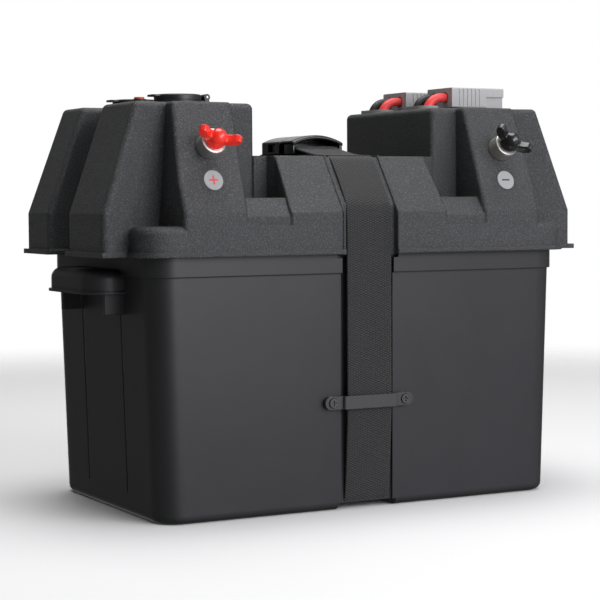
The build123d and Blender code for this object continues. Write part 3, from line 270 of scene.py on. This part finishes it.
# %% Tub plastic
def tub_plastic():
    """Satin black plastic with flow clouds, a fine skin and a few handling marks."""
    r = Recipe("tub_plastic")
    skin = r.noise(0.0014, 3, 0.7)
    clouds = r.noise(0.045, 4, 0.55, stretch=(1, 1, 0.55))
    ripple = r.noise(0.028, 2)
    marks = r.band(r.noise(0.006, 6, 0.75, stretch=(1, 1, 0.25)), 0.66, 0.78)
    return r.finish(
        Base_Color=r.tint(clouds * 0.5 + skin * 0.5, grey(0.006, -0.03), grey(0.022, -0.05)),
        Roughness=0.33 + clouds * 0.12 + skin * 0.08 + marks * 0.10,
        Normal=r.bump(skin * 0.12 + ripple, 0.00016, r.edge(0.0010)),
        Specular_IOR_Level=0.50)


# %% [markdown]
# The small mouldings share a recipe: one colour, a fine skin, a roughness that drifts a
# little, paler rubbed patches where a noise rises, and edges rounded in the shading.

# %% Small mouldings
def moulding(name, colour, rough, skin_size=0.0009, skin_depth=0.00004, rub=0.25, **more):
    """Injection-moulded plastic or rubber."""
    r = Recipe(name)
    skin = r.noise(skin_size, 3, 0.6)
    drift = r.noise(0.012, 3)
    rounded = r.edge(0.0005)
    paler = tuple(min(1.0, c * 1.5 + 0.01) for c in colour[:3]) + (1.0,)
    darker = tuple(c * 0.8 for c in colour[:3]) + (1.0,)
    worn = r.band(r.noise(0.004, 4, 0.7), 0.55, 0.75) * rub
    return r.finish(
        Base_Color=r.tint(worn, r.tint(drift, darker, colour), paler),
        Roughness=rough + drift * 0.10 + skin * 0.06,
        Normal=r.bump(skin, skin_depth, rounded),
        **more)


# %% [markdown]
# Plated metal is judged by its scratches. Turned collars have rings round their axis,
# zinc hardware a cloudy passivated bloom, and a plain cast lead post is dull and pitted.

# %% Metals
def metal(name, colour, rough, lines=0.0003, stretch=(1, 1, 1), bloom=0.15, depth=0.00002):
    """Plated or cast metal with fine lines and a cloudy bloom."""
    r = Recipe(name)
    scratch = r.noise(lines, 2, 0.6, stretch=stretch)
    cloud = r.noise(0.004, 4, 0.6)
    dull = tuple(c * 0.72 for c in colour[:3]) + (1.0,)
    return r.finish(
        Base_Color=r.tint(cloud, dull, colour),
        Metallic=1.0,
        Roughness=rough + scratch * 0.12 + cloud * bloom,
        Normal=r.bump(scratch, depth, r.edge(0.0004)))


# %% [markdown]
# Polypropylene webbing is a plain weave of flat black yarns. Across the strap the weft
# makes fine ribs, and the warp ends show as short stitches that step sideways from rib
# to rib. The pattern follows the strap, so it reads the strap's own UV map, which is in
# metres: U across and V along.

# %% Webbing
RIB = 1.8 * MM
WARP = 2.1 * MM


def webbing():
    """Black woven strap: ribs across, and warp yarns that pass over every other rib."""
    r = Recipe("webbing")
    across_wire, along_wire, _ = r.along(r.wire("UVMap", 0, {"uv_map": "strap"}))
    turn = 2 * math.pi
    warp_phase = (across_wire / WARP).apply("FLOOR") * math.pi
    yarn = (across_wire * (turn / WARP)).apply("COSINE")
    rib = (along_wire * (turn / RIB) + warp_phase).apply("SINE")
    fuzz = r.noise(0.0004, 3, 0.7)
    height = (rib * 0.5 + 0.5) * 0.95 + (0.5 - yarn * 0.5) * 0.35 + fuzz * 0.3
    worn = r.noise(0.03, 3)
    # Painted shade: the colour goes nearly black where the weave is low, in the grooves between ribs and yarns,
    # and paler on the raised yarns, whose own tone drifts with the worn noise.
    painted_groove_shade = r.band(height, 0.35, 1.2)
    return r.finish(
        Base_Color=r.tint(painted_groove_shade, grey(0.004), r.tint(worn, grey(0.022), grey(0.034))),
        Roughness=0.62 + fuzz * 0.2,
        Normal=r.bump(height, 0.00045),
        Sheen_Weight=0.15,
        Sheen_Roughness=0.4)


# %% [markdown]
# The two polarity signs are one piece in the frame, so their finish tells them apart by
# which side of the box they are on: the red plus on the left and the black minus on the
# right.

# %% Polarity signs
def mark_ink():
    """Moulded signs, red on the left half of the box and black on the right."""
    r = Recipe("mark_ink")
    x, _, _ = r.along(r.place())
    glint_fleck = r.noise(0.0008, 3)
    return r.finish(
        Base_Color=r.tint(r.band(x, -0.001, 0.001), (0.72, 0.035, 0.03, 1), grey(0.012)),
        Roughness=0.32 + glint_fleck * 0.1,
        Normal=r.edge(0.0004))


# %% [markdown]
# Each slot of the record gets one finish, and each rigid piece takes the finish of its
# slot. Assigning to the piece's own material slots leaves its mesh untouched.

# %% Hand out the finishes
finishes = {
    "lid_plastic": lid_plastic(),
    "tub_plastic": tub_plastic(),
    "webbing": webbing(),
    "guide_plastic": moulding("guide_plastic", grey(0.036), 0.36),
    "buckle_plastic": moulding("buckle_plastic", grey(0.012), 0.20, rub=0.1),
    "zinc": metal("zinc", (0.62, 0.61, 0.57, 1), 0.26, 0.0012, bloom=0.22),
    "nickel": metal("nickel", (0.86, 0.83, 0.78, 1), 0.30, 0.0004, stretch=(0.1, 1, 1)),
    "red_cover": moulding("red_cover", (0.95, 0.026, 0.012, 1), 0.16, 0.003, 0.0001, 0.1,
                          Coat_Weight=0.5, Coat_Roughness=0.12),
    "black_cover": moulding("black_cover", grey(0.010), 0.16, 0.003, 0.0001, 0.1,
                            Coat_Weight=0.5, Coat_Roughness=0.12),
    "badge_grey": moulding("badge_grey", grey(0.36, -0.02), 0.42, rub=0.1),
    "socket_plastic": moulding("socket_plastic", grey(0.018), 0.30),
    "button_orange": moulding("button_orange", (0.60, 0.13, 0.05, 1), 0.30),
    "connector_grey": moulding("connector_grey", (0.45, 0.45, 0.45, 1), 0.40),
    "contact_silver": metal("contact_silver", (0.86, 0.85, 0.83, 1), 0.18),
    "grommet_grey": moulding("grommet_grey", grey(0.36), 0.55, skin_depth=0.00008),
    "red_insulation": moulding("red_insulation", (0.88, 0.060, 0.060, 1), 0.34, 0.002),
    "black_insulation": moulding("black_insulation", grey(0.014), 0.34, 0.002),
    "battery_plastic": moulding("battery_plastic", grey(0.20, -0.03), 0.45, 0.0016, 0.0001),
    "battery_cover_plastic": moulding("battery_cover_plastic", grey(0.020), 0.45, 0.0016, 0.0001),
    "lead_metal": metal("lead_metal", grey(0.40), 0.42, 0.002, depth=0.0001),
    "black_steel": metal("black_steel", grey(0.10, -0.02), 0.30, 0.0012, bloom=0.2),
    "mark_ink": mark_ink(),
}

slot_of = {part["node"]: part["material_slot"] for part in frame["record"]["subparts"]}
for name, piece in nodes.items():
    piece.data.materials.clear()
    piece.data.materials.append(finishes[slot_of[name]])
print(len(finishes), "finishes on", len(nodes), "pieces")

# %% [markdown]
# ## Helpers for new pieces
# A new piece starts as a bmesh and ends as an object at the origin. The woven strap and
# the leads follow a smooth line, which is read from a NURBS curve drawn through a few
# points. A piece whose look comes from modifiers has them applied, so that what is seen
# is what the mesh holds.

# %% Mesh helpers
def new_object(name, made, finish):
    """An object at the origin from a bmesh, with its finish and smooth shading."""
    mesh = bpy.data.meshes.new(name)
    made.to_mesh(mesh)
    made.free()
    mesh.materials.append(finish)
    mesh.shade_smooth()
    piece = bpy.data.objects.new(name, mesh)
    bpy.context.scene.collection.objects.link(piece)
    return piece


def settled(piece):
    """Applies a piece's modifiers by keeping the mesh that they make."""
    seen = piece.evaluated_get(bpy.context.evaluated_depsgraph_get())
    mesh = bpy.data.meshes.new_from_object(seen)
    mesh.name = piece.name
    piece.modifiers.clear()
    piece.data = mesh
    return piece


def curve_mesh(name, points, resolution, radius=0.0):
    """The mesh of a NURBS curve of order 3 through control points: a line, or a tube."""
    curve = bpy.data.curves.new(name, "CURVE")
    curve.dimensions = "3D"
    curve.bevel_depth = radius
    curve.bevel_resolution = 6
    curve.use_fill_caps = True
    spline = curve.splines.new("NURBS")
    spline.points.add(len(points) - 1)
    for control, place in zip(spline.points, points):
        control.co = (*place, 1)
    spline.order_u = 3
    spline.use_endpoint_u = True
    spline.resolution_u = resolution
    holder = bpy.data.objects.new(name, curve)
    mesh = bpy.data.meshes.new_from_object(holder)
    bpy.data.objects.remove(holder)
    bpy.data.curves.remove(curve)
    mesh.name = name
    return mesh


def smooth_line(points, resolution=12):
    """Points along the smooth curve that the given points control."""
    mesh = curve_mesh("line", points, resolution)
    line = [vertex.co.copy() for vertex in mesh.vertices]
    bpy.data.meshes.remove(mesh)
    return line


def spun(made, corners, steps, merge, closed=False):
    """Adds a flat profile of X-Z corners turned full circle round the Z axis."""
    profile = [made.verts.new((x, 0, z)) for x, z in corners]
    following = profile[1:] + (profile[:1] if closed else [])
    edges = [made.edges.new(pair) for pair in zip(profile, following)]
    bmesh.ops.spin(made, geom=profile + edges, cent=(0, 0, 0), axis=(0, 0, 1),
                   angle=2 * math.pi, steps=steps, use_merge=True)
    bmesh.ops.remove_doubles(made, verts=made.verts, dist=merge)


# %% [markdown]
# ## The woven strap
# One 38 mm webbing strap runs under the tub, up both long sides, over the lid and into
# the buckle. In the frame it is two plain bands that part at the lid's lower edge. Here
# each is drawn as it really is: a flat strip bent along its path, given its thickness,
# with its two selvedges rounded. A grid bent along a line is quicker than a swept curve
# and gives clean coordinates for the weave. Cloth simulation isn't wanted, because a
# strap under tension lies flat on what it passes over.

# %% Bend a strip along a line
STRAP_WIDE = 38 * MM
STRAP_THICK = 1.45 * MM
STRAP_COLUMNS = 12


def strip(name, points, up_first, finish, step=2.5 * MM):
    """Webbing whose inner face follows points in the Y-Z plane; up_first is its outer side."""
    line = smooth_line([(0, y, z) for y, z in points])
    length = [0.0]
    for start, end in zip(line, line[1:]):
        length.append(length[-1] + (end - start).length)
    rows = max(2, round(length[-1] / step))
    made = bmesh.new()
    bmesh.ops.create_grid(made, x_segments=STRAP_COLUMNS, y_segments=rows, size=0.5)
    uv = made.loops.layers.uv.new("strap")
    for face in made.faces:
        for loop in face.loops:
            x, y, _ = loop.vert.co
            loop[uv].uv = (x * STRAP_WIDE, (y + 0.5) * length[-1])
    at = 0
    for vertex in sorted(made.verts, key=lambda v: v.co.y):
        way = (vertex.co.y + 0.5) * length[-1]
        while at < len(line) - 2 and length[at + 1] < way:
            at += 1
        share = (way - length[at]) / (length[at + 1] - length[at])
        spot = line[at].lerp(line[at + 1], share)
        vertex.co = Vector((vertex.co.x * STRAP_WIDE, spot.y, spot.z))
    made.normal_update()
    made.faces.ensure_lookup_table()
    if made.faces[0].normal.dot(Vector(up_first)) < 0:
        bmesh.ops.reverse_faces(made, faces=made.faces)
    piece = new_object(name, made, finish)
    wall = piece.modifiers.new("thickness", "SOLIDIFY")
    wall.thickness = STRAP_THICK
    wall.offset = 1
    selvedge = piece.modifiers.new("selvedge", "BEVEL")
    selvedge.width = 0.5 * MM
    selvedge.segments = 2
    selvedge.limit_method = "ANGLE"
    print(name, "is", round(length[-1] * 1000), "mm long")
    return settled(piece)


# %% [markdown]
# The strap's path follows the boxes of the two plain bands, and the slope between them
# is the lid's own. Two points near each turn keep the curve close to the corner, as a
# strap under tension is.

# %% Lay the strap
BAND_THICK = 1.6 * MM
band_low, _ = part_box("strap_lower")
FACE_Y = -band_low.y - BAND_THICK
UNDER_Z = band_low.z + BAND_THICK
FOOT_Y, BULGE_Z = 97.4 * MM, 70 * MM
MIDDLE_Z = 150 * MM
CREASE_Z = 227.6 * MM
EDGE_Y, SADDLE_Z = 76.9 * MM, 263.4 * MM
STRAP_END_Y = 62 * MM


def turned(before, corner, after, tight):
    """Two points, tight metres either side of a corner, on the lines to its neighbours."""
    corner = Vector(corner)
    return [tuple(corner + (Vector(side) - corner).normalized() * tight)
            for side in (before, after)]


foot, bulge = (FOOT_Y, UNDER_Z), (FACE_Y, BULGE_Z)
crease, edge = (FACE_Y, CREASE_Z), (EDGE_Y, SADDLE_Z)
half = [*turned((0, UNDER_Z), foot, bulge, 4 * MM),
        *turned(foot, bulge, crease, 12 * MM),
        (FACE_Y, MIDDLE_Z),
        *turned(bulge, crease, edge, 5 * MM),
        *turned(crease, edge, (0, SADDLE_Z), 4 * MM),
        (STRAP_END_Y, SADDLE_Z)]
underneath = [(-40 * MM, UNDER_Z), (40 * MM, UNDER_Z)]
round_trip = [*[(-y, z) for y, z in reversed(half)], *underneath, *half]
strap = strip("strap", round_trip, (0, 0, 1), finishes["webbing"])
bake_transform(strap)
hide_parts("strap_lower", "strap_upper")

# %% [markdown]
# The front end of the strap passes through the buckle's plug, and it is a piece of its own
# that runs between the lid and the plug. The rear end is held by the buckle's socket,
# which stays with the lid. Each run is a few points in the strap's own plane, measured up
# from the saddle.

# %% Strap ends in the buckle
plug_low, plug_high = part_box("buckle_plug")
_, socket_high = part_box("buckle_socket")
BAR_UP = 6.2 * MM
BAR_Z = SADDLE_Z + BAR_UP
PLUG_Y, SOCKET_Y = plug_low.y / MM, socket_high.y / MM
FRONT_RUN = ((-73.9, 0), (-66, 0.2), (-52, 1.0), (-38, 3.6), (PLUG_Y + 1, 6.2),
             (PLUG_Y + 5, 8.6), (PLUG_Y + 8, 8.4), (PLUG_Y + 11, 4.7))
REAR_RUN = ((70, 0.1), (58, 0.2), (44, 1.2), (34, 3.2), (SOCKET_Y + 1, 4.4), (SOCKET_Y - 2.6, 5.0))


def over_saddle(run):
    """Points in millimetres along Y and up from the saddle, as metres in the frame."""
    return [(y * MM, SADDLE_Z + up * MM) for y, up in run]


front_end = strip("strap_front_end", over_saddle(FRONT_RUN), (0, 0, 1), finishes["webbing"])
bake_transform(front_end)

rear_end = strip("strap_rear_end", over_saddle(REAR_RUN), (0, 0, 1), finishes["webbing"])
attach(rear_end, "lid")

# %% [markdown]
# The buckle's plug is an open frame: a thin crowned cover over two side walls, with bars
# across it that the strap is threaded round. In the frame it is a solid block with two
# slots. Here the cover is a grid bowed by its distance from the middle and thickened by
# solidify, and the walls and bars are scaled cubes and cylinders with rounded edges. Each
# side wall has a second, shorter block at its back end.

# %% Rounded boxes
def add_box(made, low, high, bevel):
    """A box between two corners, with its edges rounded."""
    low, high = Vector(low), Vector(high)
    fresh = bmesh.ops.create_cube(made, size=1)["verts"]
    bmesh.ops.scale(made, vec=high - low, verts=fresh)
    bmesh.ops.translate(made, vec=(low + high) / 2, verts=fresh)
    rims = list({edge for vertex in fresh for edge in vertex.link_edges})
    bmesh.ops.bevel(made, geom=rims, offset=bevel, segments=3, profile=0.5,
                    affect="EDGES", material=-1)


wide = plug_high.x - plug_low.x
print("plug is", round(wide * 1000), "mm wide")

# %% Model the plug
COVER_THICK, COVER_DROP, NOSE_DROP = 2.2 * MM, 5 * MM, 1.2 * MM
NOSE_SHARE = 0.15
WALL_THICK, WALL_ROUND, WALL_SET_BACK = 2.6 * MM, 0.7 * MM, 0.6 * MM
WALL_BACK_LONG = 9 * MM
BACK_THICK, BACK_ROUND, BACK_UP = 4 * MM, 0.6 * MM, 0.4 * MM
BAR_RADIUS, BAR_DOWN, BAR_SHORT = 1.7 * MM, 0.2 * MM, 2 * MM
SHELL_BACK_Y = -1.6 * MM
BAR_PLACES = (plug_low.y + 5.2 * MM, plug_low.y + 12.5 * MM)

deep = SHELL_BACK_Y - plug_low.y
made = bmesh.new()
bmesh.ops.create_grid(made, x_segments=28, y_segments=8, size=0.5)
for vertex in made.verts:
    x, y, _ = vertex.co
    nose = max(0, -y - 0.5 + NOSE_SHARE) / NOSE_SHARE
    crown = COVER_DROP * (2 * x) ** 2 + NOSE_DROP * nose ** 2
    vertex.co = Vector((x * wide, plug_low.y + (y + 0.5) * deep, plug_high.z - crown))
bmesh.ops.solidify(made, geom=made.faces[:], thickness=COVER_THICK)
bmesh.ops.recalc_face_normals(made, faces=made.faces)
wall_top = plug_high.z - COVER_DROP - BACK_UP
for hand in (-1, 1):
    near, far = sorted((hand * wide / 2, hand * (wide / 2 - WALL_THICK)))
    for front_y in (plug_low.y + WALL_SET_BACK, SHELL_BACK_Y - WALL_BACK_LONG):
        add_box(made, (near, front_y, plug_low.z), (far, SHELL_BACK_Y, wall_top), WALL_ROUND)
back_half = (wide - BAR_SHORT) / 2
add_box(made, (-back_half, SHELL_BACK_Y - BACK_THICK, plug_low.z + BACK_UP),
        (back_half, SHELL_BACK_Y, wall_top), BACK_ROUND)
for bar_y in BAR_PLACES:
    bar = bmesh.ops.create_cone(made, cap_ends=True, segments=24, radius1=BAR_RADIUS,
                                radius2=BAR_RADIUS, depth=2 * back_half)["verts"]
    place = Matrix.Translation((0, bar_y, BAR_Z - BAR_DOWN))
    bmesh.ops.transform(made, matrix=place @ Matrix.Rotation(math.pi / 2, 4, "Y"), verts=bar)
plug = new_object("plug_frame", made, finishes["buckle_plastic"])
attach(plug, "buckle_plug")
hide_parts("buckle_plug")
print("plug has", len(plug.data.polygons), "faces")

# %% [markdown]
# ## Dipped wing nuts
# Each terminal has a wing nut that was dipped in soft plastic: the steel under it only
# shows as a rounded shape, with every inside corner filled by the dip. Modelling that
# skin by hand would take a net of careful loops. Instead the hub and the two wings are
# plain closed shapes that run through each other, and a voxel remesh fuses them into one
# skin, which a few rounds of smoothing then melt together.

# %% Model one wing nut
HUB_PROFILE = ((0, 0), (7.3, 0), (7.5, 1.4), (6.9, 3.4), (6.3, 5.2), (6.1, 7.4),
               (5.7, 9.6), (4.4, 11.7), (2.4, 12.9), (0, 13.2))
WING_PROFILE = ((2.5, 1.2), (6.5, 1.8), (10.8, 3.6), (14.6, 6.6), (16.4, 9.8), (16.0, 13.2),
                (13.6, 15.0), (10.8, 14.0), (8.8, 11.4), (6.2, 9.2), (2.5, 9.2))
WING_HALF = 2.7
WING_ROOT_SCALE, WING_THINNING = 1.3, 0.45
WING_ROOT, WING_SPAN = 2.5, 15
SEAT_UP = 6.1 * MM
SKIN_VOXEL = 0.42 * MM


def wing_nut(name, joint, turn, finish):
    """A dipped wing nut about its joint's axis, in place of the plain one."""
    made = bmesh.new()
    spun(made, HUB_PROFILE, 40, 0.01)
    bmesh.ops.holes_fill(made, edges=[e for e in made.edges if e.is_boundary], sides=0)
    for hand in (-1, 1):
        outline = [made.verts.new((hand * x, -WING_HALF, z)) for x, z in WING_PROFILE]
        flat = made.faces.new(outline)
        drawn = bmesh.ops.extrude_face_region(made, geom=[flat])
        raised = [v for v in drawn["geom"] if isinstance(v, bmesh.types.BMVert)]
        bmesh.ops.translate(made, verts=raised, vec=(0, 2 * WING_HALF, 0))
        for vertex in outline + raised:
            reach = (abs(vertex.co.x) - WING_ROOT) / WING_SPAN
            vertex.co.y *= WING_ROOT_SCALE - WING_THINNING * reach
    bmesh.ops.recalc_face_normals(made, faces=made.faces)
    axis = Vector(joint["axis"]).normalized()
    side = Vector((1, 0, 0))
    facing = Matrix((side, axis.cross(side), axis)).transposed().to_4x4()
    collar_low, collar_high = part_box(joint["child"].replace("wing_nut", "collar"))
    seat = Matrix.Translation((collar_low + collar_high) / 2 + axis * SEAT_UP)
    spin = Matrix.Rotation(math.radians(turn), 4, "Z")
    bmesh.ops.transform(made, matrix=seat @ facing @ spin @ Matrix.Scale(MM, 4), verts=made.verts)
    piece = new_object(name, made, finish)
    fuse = piece.modifiers.new("fuse", "REMESH")
    fuse.mode = "VOXEL"
    fuse.voxel_size = SKIN_VOXEL
    fuse.use_smooth_shade = True
    melt = piece.modifiers.new("melt", "SMOOTH")
    melt.factor = 0.6
    melt.iterations = 16
    settled(piece)
    piece.data.materials.clear()
    piece.data.materials.append(finish)
    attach(piece, joint["child"])
    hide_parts(joint["child"])
    print(name, "has", len(piece.data.polygons), "faces")
    return piece


# %% Place both wing nuts
joints = {joint["name"]: joint for joint in frame["joints"]}
RED_TURN, BLACK_TURN = -17, -37
wing_nut("red_wing_nut", joints["nut_positive_spin"], RED_TURN, finishes["red_cover"])
wing_nut("black_wing_nut", joints["nut_negative_spin"], BLACK_TURN, finishes["black_cover"])

# %% [markdown]
# ## Leads inside
# A lead runs from each battery post up to the terminal stud above it. Each is one mesh
# that goes over from the tub to the lid along its upright part. A beveled curve gives the
# round tube at once, and a crimped barrel covers its lower end.

# %% Tubes and barrels
def round_lead(name, points, radius, finish):
    """A round cable along a smooth line through the points."""
    mesh = curve_mesh(name, points, 10, radius)
    mesh.materials.clear()
    mesh.materials.append(finish)
    mesh.shade_smooth()
    piece = bpy.data.objects.new(name, mesh)
    bpy.context.scene.collection.objects.link(piece)
    return piece


def washer(name, place, axis, inner, outer, tall, finish):
    """A flat ring round an axis, with its lower face at place."""
    made = bmesh.new()
    spun(made, [(inner, 0), (outer, 0), (outer, tall), (inner, tall)], 32, 0.001 * MM, True)
    bmesh.ops.recalc_face_normals(made, faces=made.faces)
    turn = Vector(axis).to_track_quat("Z", "Y").to_matrix().to_4x4()
    bmesh.ops.transform(made, matrix=Matrix.Translation(Vector(place)) @ turn, verts=made.verts)
    return new_object(name, made, finish)


# %% Draw the inner leads
LEAD_RADIUS = 4 * MM
LEAD_FINISH = {"positive": "red_insulation", "negative": "black_insulation"}
LEAD_Y, LEAD_FOOT_Z = -85.9 * MM, 218.8 * MM
LEAD_RUN = ((-0.0670, LEAD_FOOT_Z), (-0.0800, LEAD_FOOT_Z), (LEAD_Y, 0.2205),
            (LEAD_Y, 0.2330), (LEAD_Y, 0.2446), (-0.0824, 0.2540))
BARREL_Y, BARREL_LONG = -69 * MM, 9 * MM
BARREL_INNER, BARREL_OUTER = 1.5 * MM, 4.4 * MM

for sign, slot in LEAD_FINISH.items():
    low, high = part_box(sign + "_lead_lower")
    x = (low.x + high.x) / 2
    run = [(x, y, z) for y, z in LEAD_RUN]
    lead = round_lead(sign + "_inner_lead", run, LEAD_RADIUS, finishes[slot])
    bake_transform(lead)
    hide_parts(sign + "_lead_lower", sign + "_lead_upper")
    barrel = washer(sign + "_lug", (x, BARREL_Y, LEAD_FOOT_Z), (0, 1, 0), BARREL_INNER,
                    BARREL_OUTER, BARREL_LONG, finishes["zinc"])
    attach(barrel, "tub")
print("inner leads drawn")

# %% [markdown]
# ## Studio
# A small disc of pale paper fades out into the surround, so no horizon shows. The
# surround is the soft light: bright where it stands behind the box, bright and cool in
# front of it, and dark at the left, because black plastic is drawn mostly by what it
# reflects. For the same reason glossy rays pass the paper by: it lights the box softly
# from below, but isn't mirrored in its sides. Three soft boxes add the shadow under the
# box, the light on its top, and the sheen that fades from its front's upper left.

# %% Paper floor
PAPER_RADIUS, PAPER_CLEAR = 1.5, 0.9


def paper():
    """Pale matt paper that fades to nothing towards its rim."""
    r = Recipe("floor_paper")
    x, y, _ = r.along(r.place())
    far = (x * x + y * y) ** 0.5
    fade = r.band(far, PAPER_CLEAR, PAPER_RADIUS)
    return r.finish(Base_Color=grey(0.86), Roughness=0.9, Alpha=1 - fade)


made = bmesh.new()
bmesh.ops.create_circle(made, cap_ends=True, segments=64, radius=PAPER_RADIUS)
floor = new_object("floor", made, paper())
floor.visible_glossy = False
print("floor laid")

# %% Surround
world = bpy.data.worlds.new("studio")
bpy.context.scene.world = world
surround = Recipe("studio", world)
looking = surround.wire("TexCoord", "Generated")
BEHIND_WAY, FRONT_WAY, OVER_WAY = (0.47, 0.88, 0), (0.50, -0.86, 0.05), (0, 0, 1)
DIM, FRONT_GLOW, OVER_GLOW = 0.115, 0.62, 0.08
WARM, COOL, WHITE = (1, 0.99, 0.97, 1), (0.84, 0.82, 1.0, 1), (1, 1, 1, 1)

behind = surround.band(surround.toward(looking, BEHIND_WAY), 0.80, 0.93)
front = surround.band(surround.toward(looking, FRONT_WAY), 0.25, 0.98)
over = surround.band(surround.toward(looking, OVER_WAY), 0.2, 0.9)
glow = DIM + behind * (1 - DIM) + front * FRONT_GLOW + over * OVER_GLOW
tone = surround.tint(behind, surround.tint(front, WARM, COOL), WHITE)
surround.finish(Color=tone, Strength=glow)
print("surround lit")

# %% Soft boxes
def softbox(name, place, target, size, power):
    """A square area light at place that faces target."""
    light = bpy.data.lights.new(name, "AREA")
    light.shape = "SQUARE"
    light.size = size
    light.energy = power
    stand = bpy.data.objects.new(name, light)
    place = Vector(place)
    stand.matrix_world = Matrix.Translation(place) @ (
        Vector(target) - place).to_track_quat("-Z", "Y").to_matrix().to_4x4()
    bpy.context.scene.collection.objects.link(stand)


softbox("key", (1.3, -1.8, 1.1), (0, 0, 0.15), 0.9, 13)
softbox("front", (0.16, -1.25, 0.46), (-0.10, -0.1, 0.24), 0.6, 6.5)
softbox("top", (0.1, 0.1, 1.9), (0, 0, 0.1), 1.4, 28)
bpy.context.scene.view_settings.view_transform = "Standard"
print("three soft boxes")
